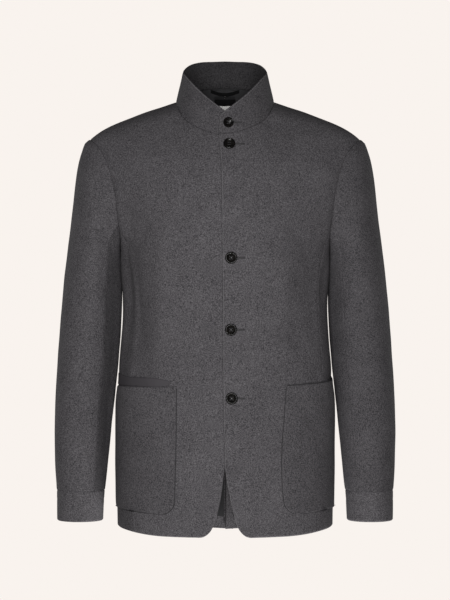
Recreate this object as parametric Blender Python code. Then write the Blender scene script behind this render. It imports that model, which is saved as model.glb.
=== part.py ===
"""A stand-collar suit jacket in wool cloth, filled out as when worn, open at the neck, hem, vent and cuffs.

+Z is up, the front faces -Y and the wearer's left is +X. The origin lies midway between the points where the
shoulder seams meet the collar, which is where shoulders carry the jacket. Sizes and tables are in millimetres.
"""

import math

import bmesh
import bpy
import numpy as np
from mathutils import Vector

MM = 0.001  # millimetres to metres
SHARP_EDGE = math.radians(40)


def table(columns, rows):
    """A short table as one array for each named column."""
    return dict(zip(columns.split(), np.array(rows, float).T))


# Cloth and seams
CLOTH = 1.8
LINING = 1.0
LABEL_CLOTH = 0.9
SEAM_GAP = 0.3
LAY_GAP = 0.8  # between a curved panel and what lies on it

# Neck, shoulders and armholes
NECK_POINT = (83.0, 4.0)  # half-width and height where the shoulder seam meets the collar
SHOULDER_TIP = (229.0, -60.0)
UNDERARM_HEIGHT = -247.0
ARMHOLE_HALF_DEPTH = 60.0
NECK_MIDDLE_Y = -10.0
FRONT_SEAM_ANGLE = 55.0  # where the side panel's seams meet the armhole, in degrees from its lowest point
BACK_SEAM_ANGLE = 45.0
CENTRE_ROUND = 30.0  # how softly each section turns at the front and back centre

# Fronts
FRONT_SEAM_TURN = 0.64  # at the hem: 0 is the front centre, 1 the side and 2 the back centre
BACK_SEAM_TURN = 1.32
LAP_LIFT = 4.6  # how far the left front and collar end stand off where they lap over the right ones
LAP_FADE = (30.0, 90.0)  # from the front centre, where that lift starts to fade and where it ends
FRONT_CORNER = -712.0  # the middle of the round lower front corner
CORNER_RISE = 11.4
CORNER_REACH = 18.0

# Back vent
VENT_TOP = -520.0
VENT_LAP = 14.0  # the right back laps this far past the centre, outside the left back
VENT_SHUT = 0.5  # the left back's edge, from the centre
VENT_RUN = 28.0  # the height in which the lap comes to its full width
VENT_PRESS = 2.4  # how far the left back is pressed in behind the lap
VENT_FADE = (18.0, 70.0)
LINING_RISE = 22.0  # the lining's lower edge, above the hem
LINING_INSET = 4.0
LINING_VENT_EDGE = 1.6  # the right lining's edge, from the centre

# Grid of the panels
LOWER_ROWS = 14
UPPER_ROWS = 9
NECK_COLUMNS = 5
SHOULDER_COLUMNS = 6
SIDE_COLUMNS = 6
COLLAR_ROWS = 4
NECK_SHARE = 0.42  # the share of a panel's width below the neckline
ROW_CROWDING = 1.3  # rows lie closer towards the hem
SECTION_SAMPLES = 100  # points in which a section or an edge is measured

# Cuffs, pockets and buttons
POCKET_WIDTH = 168.0
POCKET_BOTTOM = (-686.0, -680.5)  # at the inner and outer edge
POCKET_CORNER = 22.0
POCKET_COLUMNS = 9
POCKET_ROWS = 6
BUTTON_SIDES = 20
BUTTON_LIFT = 0.9  # the thread between cloth and button
SHANK_RADIUS = 2.2
PLACE_REACH = 70.0  # how far round a button its panel is searched
PLACE_STEPS = 12

# Things inside the back neck
LOOP_HALF_SPAN = 25.5
LOOP_WIDTH = 5.6
LOOP_TOP = 33.0
LOOP_SAG = 3.5
LOOP_STAND_OFF = 4.5
LOOP_STEPS = 12
LABEL_HALF_WIDTH = 19.0
LABEL_TOP = 17.5
LABEL_BOTTOM = 6.6
TAB_HALF_WIDTH = 15.0
TAB_BOTTOM = -20.0
LABEL_LAY = 1.9  # between the lining and the label

# Level sections of the body: the side line's half-width and depth, how far the front and back stand out, how square
# each quarter is seen from the front (2 is an ellipse, more is squarer), and how round its side or shoulder is
TORSO = table(
    "height half_width side front back front_square back_square round",
    [
        (40, 70, 0, 40, 67, 1.50, 1.90, 2.0),
        (34, 73, 0, 44, 70, 1.40, 1.90, 2.0),
        (4, 83, 0, 55, 86, 1.00, 1.45, 2.0),
        (-8, 121, 0, 62, 92, 0.90, 1.20, 2.0),
        (-23, 161, 0, 71, 98, 0.90, 1.12, 2.0),
        (-37, 195, 0, 79, 103, 0.95, 1.12, 2.0),
        (-48, 214, 0, 85, 106, 1.05, 1.18, 2.0),
        (-60, 229, 0, 91, 109, 1.15, 1.25, 2.0),
        (-74, 230, 0, 98, 111, 1.35, 1.40, 2.0),
        (-120, 218, 0, 115, 116, 1.75, 1.75, 2.1),
        (-183, 198, 0, 125, 117, 1.95, 1.90, 2.2),
        (-236, 179, 0, 127, 113, 2.10, 1.95, 2.35),
        (-262, 176.2, -6, 126, 110, 2.10, 2.00, 2.4),
        (-316, 173.6, -10, 124, 106, 2.10, 2.00, 2.4),
        (-383, 175.4, -8, 123, 106, 2.10, 2.00, 2.4),
        (-461, 180.6, -4, 127, 115, 2.10, 2.00, 2.4),
        (-523, 183.8, 0, 130, 122, 2.10, 2.00, 2.4),
        (-608, 183.6, 0, 133, 128, 2.10, 2.00, 2.4),
        (-740, 182, 0, 136, 133, 2.10, 2.00, 2.4),
    ],
)

# The lower edge, by turn round the body
HEM = table(
    "turn height",
    [(0, -723.6), (0.4, -722.5), (0.8, -715), (1.0, -713), (1.32, -716), (1.7, -729), (2, -734)],
)

# The neck seam, by distance from the centre
NECKLINE_FRONT = table(
    "across height",
    [(0, -58.5), (13.4, -56.5), (28.5, -52), (45, -45), (60.5, -36), (72.5, -24), (79, -10), (83, 4)],
)
NECKLINE_BACK = table("across height", [(0, 34), (20, 33), (40, 29.5), (58, 23), (72, 14), (83, 4)])

# The front edges, as the distance from the centre towards each front's own side
FRONT_EDGE = table(
    "height left right",
    [
        (-40, -13.0, -26.0),
        (-78, -9.7, -26.0),
        (-113, -6.7, -26.0),
        (-165, -5.7, -26.0),
        (-480, -3.3, -25.0),
        (-540, -2.2, -15.0),
        (-610, 0.0, 0.5),
        (-642, 5.0, 4.5),
        (-671, 11.0, 9.5),
        (-693, 16.0, 15.0),
        (-712, 24.4, 23.2),
    ],
)

# The stand collar's upper edge, by share of the neck seam from the back centre to the front centre
COLLAR_TOP = table(
    "share x y height",
    [
        (0.0, 0, 60, 79.5),
        (0.17, 39, 51, 77.5),
        (0.33, 64, 27, 68.5),
        (0.47, 71.5, -5, 54.5),
        (0.62, 64, -42, 43),
        (0.77, 43, -70, 18),
        (0.90, 18, -85, -3.5),
        (1.0, 0, -89, -17.3),
        (1.12, -27, -81.5, -37.5),
    ],
)

# Sleeve sections: outer and inner line as seen from the front, middle and half-depth from front to back, and how
# far the section still follows the armhole's own curve
SLEEVE = table(
    "outer_x outer_z inner_x inner_z middle_y half_depth follow",
    [
        (229, -60, 177.6, -247, 0, 60, 1.0),
        (237, -67, 177.6, -255, 3, 63.5, 0.55),
        (246, -88, 177.0, -265, 7, 66, 0.25),
        (252.4, -118, 176.0, -279, 11, 67, 0.08),
        (257.4, -157, 175.4, -295, 14, 67.5, 0),
        (263.2, -206, 174.8, -313, 17, 67, 0),
        (270, -258, 175.2, -336, 19, 65, 0),
        (276.2, -313, 176.6, -362, 20, 62.5, 0),
        (281, -370, 178.4, -397, 19, 60, 0),
        (285, -430, 182.0, -442, 14, 57.5, 0),
        (288, -490, 187.0, -492, 5, 54.5, 0),
        (289, -545, 192.0, -543, -6, 51.5, 0),
        (287.8, -595, 196.6, -592, -15, 49, 0),
        (286, -630, 200.0, -628, -21, 47.5, 0),
        (284, -652, 202.6, -652, -25, 46.5, 0),
    ],
)
UNDER_SLEEVE_BACK_ROWS = 3  # the under sleeve reaches this many rows up the back armhole

# Cuff bands, from the seam to the end
CUFF = table(
    "height outer_x inner_x middle_y half_depth",
    [
        (-652.3, 283.6, 203.0, -25.2, 46.1),
        (-668, 283.4, 204.0, -27.5, 45.4),
        (-686, 283.1, 204.8, -29.6, 44.8),
        (-703, 282.8, 205.3, -31.2, 44.3),
    ],
)

# Soft folds of the fronts and back: the middle as seen from the front, half-length, half-width, lean from upright
# in degrees and depth, which is negative for a trough
FRONT_FOLDS = table(
    "x z half_length half_width lean depth",
    [
        (-143, -360, 115, 26, -3, -5.0),
        (-118, -372, 110, 20, 2, 2.2),
        (-135, -232, 62, 24, 20, -4.0),
        (150, -345, 105, 26, 4, -3.2),
        (122, -250, 60, 22, -22, -2.4),
        (0, -230, 120, 34, 0, -2.2),
        (-60, -590, 110, 30, 3, 2.0),
        (70, -600, 110, 30, -3, 2.2),
    ],
)
BACK_FOLDS = table(
    "x z half_length half_width lean depth",
    [
        (-105, -190, 80, 26, -10, 3.0),
        (105, -190, 80, 26, 10, 3.0),
        (-120, -375, 100, 28, 4, -3.5),
        (120, -370, 90, 28, -4, -3.5),
        (0, -360, 120, 36, 0, -3.0),
    ],
)

# Soft breaks of the sleeves: the angle round the sleeve from its inner line towards the front, the height, half
# angle, half height and depth
SLEEVE_FOLDS = table(
    "angle z half_angle half_height depth",
    [
        (62, -400, 40, 20, -2.6),
        (75, -447, 46, 22, 2.0),
        (50, -330, 36, 24, -2.0),
        (118, -175, 26, 60, -2.2),
        (-70, -385, 40, 30, 2.4),
        (-75, -300, 40, 40, -2.0),
    ],
)

# Pockets, by the side of the wearer: the inner edge's distance from the centre from mouth to foot, the height of
# the mouth's inner and outer end, and how far the mouth hangs and stands open
POCKET_EDGE = {
    "right": table("height across", [(-474, 78.7), (-560, 79), (-640, 81), (-686, 82.5)]),
    "left": table("height across", [(-474, 100.5), (-535, 95.5), (-595, 91), (-640, 92.5), (-686, 97.5)]),
}
POCKET_MOUTH = {"right": (-475.0, -475.5), "left": (-473.0, -461.0)}
POCKET_HANG = {"right": 1.5, "left": 1.0}
POCKET_GAPE = {"right": 10.0, "left": 7.5}

# The plain facing that shows in the right pocket's mouth: its upper edge, by share of the pocket's width
FACING_TOP = table("share height", [(0.085, -465.5), (0.262, -461.5), (0.606, -460.5), (0.969, -455.0)])
FACING_DEPTH = 24.0  # how far it goes down behind the pocket where the mouth stands open
FACING_CLEAR = 1.0  # above the mouth's edge at both ends
FACING_COLUMNS = 14
FACING_ROWS = 4

# Buttons from the collar down, as seen from the front
BUTTONS = table(
    "x z radius",
    [(5.5, -37, 8.8), (7.2, -74, 10), (9.7, -261.5, 10), (9.9, -381, 10), (9.9, -495, 10)],
)
# A button's turned outline, as shares of its radius and of its thickness
BUTTON_THICKNESS = 3.6
BUTTON_OUTLINE = table(
    "radius height",
    [(0.62, 0.0), (0.92, 0.22), (1.0, 0.55), (0.93, 0.92), (0.82, 1.0), (0.70, 0.72), (0.35, 0.62)],
)

# Colours, linear
WOOL_COLOUR = (0.082, 0.077, 0.083)
LINING_COLOUR = (0.020, 0.019, 0.021)
HORN_COLOUR = (0.022, 0.017, 0.014)
TAPE_COLOUR = (0.008, 0.008, 0.009)
TAB_COLOUR = (0.78, 0.77, 0.75)


def smooth_curve(at, values):
    """A curve through the points that never overshoots: cubics with limited slopes."""
    order = np.argsort(at)
    at = at[order]
    values = values[order]
    step = np.diff(at)
    slope = np.diff(values) / step
    same_way = slope[:-1] * slope[1:] > 0
    total = np.where(same_way, slope[:-1] + slope[1:], 1)
    inner = np.where(same_way, 2 * slope[:-1] * slope[1:] / total, 0)
    rate = np.concatenate([slope[:1], inner, slope[-1:]])

    def value(x):
        x = np.clip(x, at[0], at[-1])
        i = np.clip(np.searchsorted(at, x) - 1, 0, len(step) - 1)
        t = (x - at[i]) / step[i]
        rise = values[i + 1] - values[i]
        first = rate[i] * step[i]
        last = rate[i + 1] * step[i]
        return values[i] + t * first + t**2 * (3 * rise - 2 * first - last) + t**3 * (first + last - 2 * rise)

    return value


FORM = {name: smooth_curve(TORSO["height"], TORSO[name]) for name in TORSO if name != "height"}
hem_at = smooth_curve(HEM["turn"], HEM["height"])
neckline_at = {
    "front": smooth_curve(NECKLINE_FRONT["across"], NECKLINE_FRONT["height"]),
    "back": smooth_curve(NECKLINE_BACK["across"], NECKLINE_BACK["height"]),
}
front_edge_at = {side: smooth_curve(FRONT_EDGE["height"], FRONT_EDGE[side]) for side in ("left", "right")}


def blend(a, b, share):
    return a + (b - a) * share


def eased(x, start, end):
    """0 at start and 1 at end, level at both."""
    t = np.clip((x - start) / (end - start), 0, 1)
    return t * t * (3 - 2 * t)


def bell(x):
    """1 at 0, falling softly to 0 at 1 and past it."""
    return np.cos(np.clip(np.abs(x), 0, 1) * np.pi / 2) ** 2


def softened(x):
    """A distance from the centre, rounded off near it, so that no section has a crease there."""
    return np.hypot(x, CENTRE_ROUND) - CENTRE_ROUND


def depth_at(x, z, face):
    """The depth of the body's form at a place seen from the front."""
    ratio = np.clip(softened(x) / softened(FORM["half_width"](z)), 0, 1)
    side = FORM["side"](z)
    reach = -FORM["front"](z) if face == "front" else FORM["back"](z)
    return side + (reach - side) * (1 - ratio ** FORM[face + "_square"](z)) ** (1 / FORM["round"](z))


def across_at(ratio, z):
    """The distance from the centre whose softened share of the half-width is that ratio."""
    reach = ratio * softened(FORM["half_width"](z)) + CENTRE_ROUND
    return np.sqrt(reach**2 - CENTRE_ROUND**2)


def width_at(y, z):
    """The form's half-width at a depth and a height."""
    side = FORM["side"](z)
    face = "front" if y < side else "back"
    reach = -FORM["front"](z) if face == "front" else FORM["back"](z)
    bulge = np.clip((y - side) / (reach - side), 0, 1) ** FORM["round"](z)
    return across_at((1 - bulge) ** (1 / FORM[face + "_square"](z)), z)


def quarter(z, face):
    """A quarter of the section at a height, from the centre to the side: half-widths and lengths along it."""
    angle = np.linspace(0, np.pi / 2, SECTION_SAMPLES)
    across = across_at(np.sin(angle) ** (2 / FORM[face + "_square"](z)), z)
    steps = np.hypot(np.diff(across), np.diff(depth_at(across, z, face)))
    return across, np.concatenate([[0], np.cumsum(steps)])


def around(turns, heights):
    """Points of the form. Turns run with the cloth: 0 at the front centre, 1 at the side, 2 at the back centre."""
    points = []
    for turn, z in zip(turns, heights):
        face = "front" if turn <= 1 else "back"
        share = turn if face == "front" else 2 - turn
        across, along = quarter(z, face)
        x = math.copysign(np.interp(abs(share) * along[-1], along, across), share)
        points.append((x, depth_at(x, z, face), z))
    return np.array(points)


def turn_across(x, z):
    """The turn on the front at a distance from the centre."""
    across, along = quarter(z, "front")
    return math.copysign(np.interp(abs(x), across, along / along[-1]), x)


def turn_beside(y, z):
    """The turn near the side at a depth."""
    face = "front" if y < FORM["side"](z) else "back"
    across, along = quarter(z, face)
    depths = depth_at(across, z, face)
    if face == "front":
        return np.interp(y, depths, along / along[-1])
    return 2 - np.interp(-y, -depths, along / along[-1])


def armhole(angle):
    """A point of the armhole seam, by degrees from its lowest point towards the front."""
    middle = (SHOULDER_TIP[1] + UNDERARM_HEIGHT) / 2
    half = (SHOULDER_TIP[1] - UNDERARM_HEIGHT) / 2
    z = middle - half * math.cos(math.radians(angle))
    y = -ARMHOLE_HALF_DEPTH * math.sin(math.radians(angle))
    return np.array([width_at(y, z), y, z])


def even_shares(points, count):
    """Places that part a line of points into equal lengths, as fractional indices."""
    along = np.concatenate([[0], np.cumsum(np.linalg.norm(np.diff(points, axis=0), axis=1))])
    return np.interp(np.linspace(0, along[-1], count + 1), along, np.arange(len(points)))


def top_line(start, face):
    """The upper edge of a front or back: along the neck seam from start, then down the shoulder seam."""
    neck_x = np.linspace(start, NECK_POINT[0], SECTION_SAMPLES)
    neck_z = neckline_at[face](np.abs(neck_x))
    neck = np.stack([neck_x, depth_at(neck_x, neck_z, face), neck_z], axis=1)
    ridge_z = np.linspace(NECK_POINT[1], SHOULDER_TIP[1], SECTION_SAMPLES)
    ridge = np.stack([FORM["half_width"](ridge_z), FORM["side"](ridge_z), ridge_z], axis=1)
    places = []
    for line, count in ((neck, NECK_COLUMNS), (ridge, SHOULDER_COLUMNS)):
        index = even_shares(line, count)
        places.append(np.stack([np.interp(index, np.arange(SECTION_SAMPLES), line[:, k]) for k in range(3)], axis=1))
    return np.concatenate([places[0], places[1][1:]])


COLUMN_SHARES = np.concatenate(
    [
        np.linspace(0, NECK_SHARE, NECK_COLUMNS + 1),
        np.linspace(NECK_SHARE, 1, SHOULDER_COLUMNS + 1)[1:],
    ]
)
LOWER_SHARES = np.linspace(0, 1, LOWER_ROWS + 1) ** ROW_CROWDING


def upper_rows(lower, start_at, ends, face):
    """The rows from the side seam's top to the shoulder, as a panel narrows to its neckline and armhole."""
    base = lower[-1]
    top_start = start_at(1.0)
    top = top_line(top_start[0], face)
    base_share = (base[:, 0] - base[0, 0]) / (base[-1, 0] - base[0, 0])
    top_share = (top[:, 0] - top[0, 0]) / (top[-1, 0] - top[0, 0])
    hill = top[:, 2] - blend(top[0, 2], top[-1, 2], top_share)
    rows = []
    for i, end in enumerate(ends[1:], 1):
        share = i / (len(ends) - 1)
        start_x, start_z = start_at(share)
        across = blend(base_share, top_share, share)
        x = blend(start_x, end[0], across)
        z = blend(start_z, end[2], across) + hill * share
        row = np.stack([x, depth_at(x, z, face), z], axis=1)
        row[-1] = end
        rows.append(row)
    rows[-1] = top
    return np.array(rows)


def front_grid(side):
    """Points of a front on the +X side, rows from the hem up and columns from the front edge to the side."""
    edge = front_edge_at[side]
    ends = [armhole(angle) for angle in np.linspace(FRONT_SEAM_ANGLE, 180, UPPER_ROWS + 1)]
    seam_top_turn = turn_beside(ends[0][1], ends[0][2])
    seam_z = ends[0][2]
    corner_x = edge(FRONT_CORNER)
    hem_turns = blend(turn_across(corner_x, FRONT_CORNER), FRONT_SEAM_TURN, COLUMN_SHARES)
    hem_x = around(hem_turns, hem_at(hem_turns))[:, 0]
    corner = CORNER_RISE * np.clip(1 - (hem_x - corner_x) / CORNER_REACH, 0, 1) ** 2
    hem = hem_at(hem_turns) + corner
    lower = []
    for share in LOWER_SHARES:
        heights = blend(hem, seam_z, share)
        start = turn_across(edge(heights[0]), heights[0])
        end = blend(FRONT_SEAM_TURN, seam_top_turn, share)
        lower.append(around(blend(start, end, COLUMN_SHARES), heights))
    lower[-1][-1] = ends[0]
    top_edge = edge(neckline_at["front"](0.0))
    top_z = neckline_at["front"](abs(top_edge))

    def start_at(share):
        z = blend(seam_z, top_z, share)
        return edge(z) if share < 1 else top_edge, z

    return np.concatenate([lower, upper_rows(np.array(lower), start_at, ends, "front")])


def back_grid(vent_edge, hem_rise=0.0):
    """Points of a back on the +X side, rows from the hem up and columns from the back centre to the side."""
    ends = [armhole(-angle) for angle in np.linspace(BACK_SEAM_ANGLE, 180, UPPER_ROWS + 1)]
    seam_top_turn = turn_beside(ends[0][1], ends[0][2])
    seam_z = ends[0][2]
    hem = hem_at(blend(2.0, BACK_SEAM_TURN, COLUMN_SHARES)) + hem_rise
    lower = []
    for share in LOWER_SHARES:
        heights = blend(hem, seam_z, share)
        run_start = VENT_TOP if vent_edge < 0 else VENT_TOP + 2 * VENT_RUN
        past = vent_edge * eased(heights[0], run_start, run_start - VENT_RUN)
        _, along = quarter(heights[0], "back")
        start = 2 - past / along[-1]
        end = blend(BACK_SEAM_TURN, seam_top_turn, share)
        lower.append(around(blend(start, end, COLUMN_SHARES), heights))
    lower[-1][-1] = ends[0]
    top_z = neckline_at["back"](0.0)

    def start_at(share):
        return 0.0, blend(seam_z, top_z, share)

    return np.concatenate([lower, upper_rows(np.array(lower), start_at, ends, "back")])


def side_grid():
    """Points of a side panel, rows from the hem up and columns from the front seam to the back seam."""
    top = np.array([armhole(a) for a in np.linspace(FRONT_SEAM_ANGLE, -BACK_SEAM_ANGLE, SIDE_COLUMNS + 1)])
    top_turns = np.array([turn_beside(y, z) for _, y, z in top])
    hem_turns = np.linspace(FRONT_SEAM_TURN, BACK_SEAM_TURN, SIDE_COLUMNS + 1)
    hem = hem_at(hem_turns)
    rows = [around(blend(hem_turns, top_turns, s), blend(hem, top[:, 2], s)) for s in LOWER_SHARES[:-1]]
    return np.concatenate([rows, top[None]])


def mirrored(grid, side):
    """A grid of the +X side for the wearer's left, or its mirror image for the right."""
    return grid * np.array([1 if side == "left" else -1, 1, 1])


def grid_normals(grid, closed=False):
    """Outward normals of a grid of points, which may close on itself along its columns."""
    if closed:
        across = np.roll(grid, -1, axis=1) - np.roll(grid, 1, axis=1)
    else:
        across = np.gradient(grid, axis=1)
    normals = np.cross(across, np.gradient(grid, axis=0))
    return normals / np.linalg.norm(normals, axis=2, keepdims=True)


def facing_out(grid, normals, centre):
    """The normals turned away from a centre point or from a line of centres."""
    return normals * np.sign(np.sum(normals * (grid - centre), axis=2).mean())


def share_seam_normals(grids, normals):
    """Gives points that panels have in common one normal, so that their walls meet edge to edge."""
    total = {}
    for grid, normal in zip(grids, normals):
        for point, direction in zip(np.round(grid.reshape(-1, 3), 2), normal.reshape(-1, 3)):
            key = tuple(point + 0.0)
            total[key] = total.get(key, 0) + direction
    for grid, normal in zip(grids, normals):
        summed = np.array([total[tuple(p + 0.0)] for p in np.round(grid.reshape(-1, 3), 2)])
        summed /= np.linalg.norm(summed, axis=1, keepdims=True)
        normal[:] = summed.reshape(normal.shape)


def fold_height(points, folds):
    """How far the folds raise or sink points, as seen from the front."""
    height = np.zeros(points.shape[:-1])
    for x, z, half_length, half_width, lean, depth in zip(*folds.values()):
        turn = math.radians(lean)
        beside = points[..., 0] - x
        up = points[..., 2] - z
        across = beside * math.cos(turn) - up * math.sin(turn)
        along = beside * math.sin(turn) + up * math.cos(turn)
        height += depth * bell(across / half_width / 2) * bell(along / half_length)
    return height


def lap(points):
    """The lift of the left front and collar over the right ones."""
    return LAP_LIFT * (1 - eased(points[..., 0], *LAP_FADE))


def inset(grid, gap):
    """The grid with its outer rows and columns drawn in along the cloth."""
    grid = grid.copy()
    for edge, beside in ((0, 1), (-1, -2)):
        step = grid[:, beside] - grid[:, edge]
        grid[:, edge] += gap * step / np.linalg.norm(step, axis=1, keepdims=True)
    for edge, beside in ((0, 1), (-1, -2)):
        step = grid[beside] - grid[edge]
        grid[edge] += gap * step / np.linalg.norm(step, axis=1, keepdims=True)
    return grid


materials = {}


def material(name, colour, roughness):
    """A Principled BSDF material of that colour, made once."""
    if name not in materials:
        made = bpy.data.materials.new(name)
        made.use_nodes = True
        shader = made.node_tree.nodes["Principled BSDF"]
        shader.inputs["Base Color"].default_value = (*colour, 1)
        shader.inputs["Roughness"].default_value = roughness
        shader.inputs["Metallic"].default_value = 0
        materials[name] = made
    return materials[name]


def wool():
    return material("wool_cloth", WOOL_COLOUR, 0.9)


def dark_lining():
    return material("lining_cloth", LINING_COLOUR, 0.6)


def add_solid(name, points, faces, finish):
    """A named object from points in millimetres and faces, with its faces turned outwards."""
    mesh = bpy.data.meshes.new(name)
    mesh.from_pydata([tuple(p * MM) for p in points], [], faces)
    work = bmesh.new()
    work.from_mesh(mesh)
    if work.calc_volume(signed=True) < 0:
        bmesh.ops.reverse_faces(work, faces=work.faces)
    work.to_mesh(mesh)
    work.free()
    mesh.shade_smooth()
    mesh.set_sharp_from_angle(angle=SHARP_EDGE)
    mesh.materials.append(finish)
    made = bpy.data.objects.new(name, mesh)
    bpy.context.scene.collection.objects.link(made)
    return made


def add_wall(name, outer, inner, finish, closed=False):
    """A closed wall between two grids of points, which may close on themselves along their columns."""
    rows, columns, _ = outer.shape
    count = rows * columns
    last = columns if closed else columns - 1

    def at(row, column):
        return row * columns + column % columns

    faces = []
    for i in range(rows - 1):
        for j in range(last):
            quad = (at(i, j), at(i, j + 1), at(i + 1, j + 1), at(i + 1, j))
            faces.append(quad)
            faces.append(tuple(count + quad[k] for k in (0, 3, 2, 1)))
    for i, turned in ((0, True), (rows - 1, False)):
        for j in range(last):
            a = at(i, j)
            b = at(i, j + 1)
            rim = (a, b, count + b, count + a)
            faces.append(rim[::-1] if turned else rim)
    if not closed:
        for j, turned in ((0, False), (columns - 1, True)):
            for i in range(rows - 1):
                a = at(i, j)
                b = at(i + 1, j)
                rim = (a, b, count + b, count + a)
                faces.append(rim[::-1] if turned else rim)
    return add_solid(name, np.concatenate([outer.reshape(-1, 3), inner.reshape(-1, 3)]), faces, finish)


def add_cloth(name, grid, normals, finish, thickness=CLOTH, off=0.0, closed=False, gap=SEAM_GAP / 2):
    """A cloth wall whose outer face lies off the grid by that much along the normals."""
    drawn_in = grid if closed else inset(grid, gap)
    outer = drawn_in + normals * np.asarray(off)[..., None]
    return add_wall(name, outer, outer - normals * thickness, finish, closed)


def build_body():
    """Fronts, side panels, backs and back lining. Returns each front's and back's finished outer points."""
    grids = {}
    for side in ("left", "right"):
        grids["front_" + side] = mirrored(front_grid(side), side)
        grids["side_panel_" + side] = mirrored(side_grid(), side)
        vent_edge = VENT_SHUT if side == "left" else -VENT_LAP
        grids["back_" + side] = mirrored(back_grid(vent_edge), side)
    middle = {name: np.stack([0 * g[..., 0], 0 * g[..., 1], g[..., 2]], axis=2) for name, g in grids.items()}
    normals = {name: facing_out(g, grid_normals(g), middle[name]) for name, g in grids.items()}
    share_seam_normals(list(grids.values()), list(normals.values()))
    finished = {}
    for name, grid in grids.items():
        if name.startswith("back"):
            lift = fold_height(grid, BACK_FOLDS)
        else:
            lift = fold_height(grid, FRONT_FOLDS) * (grid[..., 1] < 0)
        if name == "front_left":
            lift = lift + lap(grid)
        if name == "back_left":
            lift = lift - vent_press(grid)
        add_cloth(name, grid, normals[name], wool(), off=lift)
        finished[name] = (grid + normals[name] * lift[..., None], normals[name])
    build_lining()
    return finished


def vent_press(points):
    """How far the left back lies in behind the right back's lap at the vent."""
    beside = 1 - eased(points[..., 0], *VENT_FADE)
    return VENT_PRESS * beside * eased(points[..., 2], VENT_TOP + 2 * VENT_RUN, VENT_TOP)


def build_lining():
    """The lining inside the two backs, clear of the vent's facing."""
    for side, vent_edge in (("left", VENT_LAP), ("right", LINING_VENT_EDGE)):
        grid = mirrored(back_grid(vent_edge, LINING_RISE), side)
        middle = np.stack([0 * grid[..., 0], 0 * grid[..., 1], grid[..., 2]], axis=2)
        normals = facing_out(grid, grid_normals(grid), middle)
        normals[LOWER_ROWS:, 0, 0] = 0
        inwards = grid[:, -2] - grid[:, -1]
        grid[:, -1] += LINING_INSET * inwards / np.linalg.norm(inwards, axis=1, keepdims=True)
        off = fold_height(grid, BACK_FOLDS) - CLOTH - LAY_GAP
        if side == "left":
            off = off - vent_press(grid)
        add_cloth("back_lining_" + side, grid, normals, dark_lining(), LINING, off)


def armhole_ring():
    """The armhole's angles in order: from the shoulder down the front, under the arm and up the back."""
    front = np.linspace(180, FRONT_SEAM_ANGLE, UPPER_ROWS + 1)
    under = np.linspace(FRONT_SEAM_ANGLE, -BACK_SEAM_ANGLE, SIDE_COLUMNS + 1)[1:-1]
    back = np.linspace(-BACK_SEAM_ANGLE, -180, UPPER_ROWS + 1)[:-1]
    return np.concatenate([front, under, back])


def oval(angles, outer, inner, middle_y, half_depth):
    """A sleeve section through its outer and inner points, by angle from the inner point towards the front."""
    turn = np.radians(angles)[:, None]
    centre = np.array([(outer[0] + inner[0]) / 2, middle_y, (outer[1] + inner[1]) / 2])
    outwards = np.array([outer[0] - inner[0], 0, outer[1] - inner[1]]) / 2
    return centre - outwards * np.cos(turn) + np.array([0, -half_depth, 0]) * np.sin(turn)


def sleeve_fold_height(angles, heights):
    """How far the soft breaks raise or sink the points of a sleeve."""
    height = np.zeros(heights.shape)
    for angle, z, half_angle, half_height, depth in zip(*SLEEVE_FOLDS.values()):
        height += depth * bell((angles - angle) / half_angle / 2) * bell((heights - z) / half_height / 2)
    return height


def build_sleeves():
    """Top and under sleeves from the armhole to the cuff seam, and the cuff bands."""
    angles = armhole_ring()
    seam = np.array([armhole(a) for a in angles])
    rings = []
    for outer_x, outer_z, inner_x, inner_z, middle_y, half_depth, follow in zip(*SLEEVE.values()):
        ring = oval(angles, (outer_x, outer_z), (inner_x, inner_z), middle_y, half_depth)
        if not rings:
            apart = seam - ring
        rings.append(ring + follow * apart)
    grid = np.array(rings)
    normals = facing_out(grid, grid_normals(grid, closed=True), grid.mean(axis=1, keepdims=True))
    lift = sleeve_fold_height(np.broadcast_to(angles, grid.shape[:2]), grid[..., 2])
    under_start = UPPER_ROWS
    under_end = UPPER_ROWS + SIDE_COLUMNS + UNDER_SLEEVE_BACK_ROWS
    under = np.arange(under_start, under_end + 1)
    top = np.arange(under_end, under_start + len(angles) + 1) % len(angles)
    cuff = []
    for z, outer_x, inner_x, middle_y, half_depth in zip(*CUFF.values()):
        cuff.append(oval(angles, (outer_x, z), (inner_x, z), middle_y, half_depth))
    cuff = np.array(cuff)
    cuff_normals = facing_out(cuff, grid_normals(cuff, closed=True), cuff.mean(axis=1, keepdims=True))
    for side in ("left", "right"):
        for piece, columns in (("sleeve_top_", top), ("sleeve_under_", under)):
            add_cloth(
                piece + side,
                mirrored(grid[:, columns], side),
                mirrored(normals[:, columns], side),
                wool(),
                off=lift[:, columns],
            )
        add_cloth("cuff_" + side, mirrored(cuff, side), mirrored(cuff_normals, side), wool(), closed=True)


def collar_half(side, finished):
    """A half of the stand collar on the +X side: its lower points, from the neck seam, and its upper points."""
    front, _ = finished["front_" + side]
    back, _ = finished["back_" + side]
    neck = np.concatenate([back[-1, : NECK_COLUMNS + 1], front[-1, NECK_COLUMNS - 1 :: -1]])
    neck = mirrored(neck, side)
    steps = np.linalg.norm(np.diff(neck, axis=0), axis=1)
    along = np.concatenate([[0], np.cumsum(steps)])
    to_centre = np.interp(0, -neck[NECK_COLUMNS:, 0], along[NECK_COLUMNS:])
    share = along / to_centre
    top = np.stack([smooth_curve(COLLAR_TOP["share"], COLLAR_TOP[k])(share) for k in ("x", "y", "height")], axis=1)
    if side == "left":
        top[:, 1] -= lap(top) * (top[:, 1] < 0)
    return neck + np.array([0, 0, SEAM_GAP]), top


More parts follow.
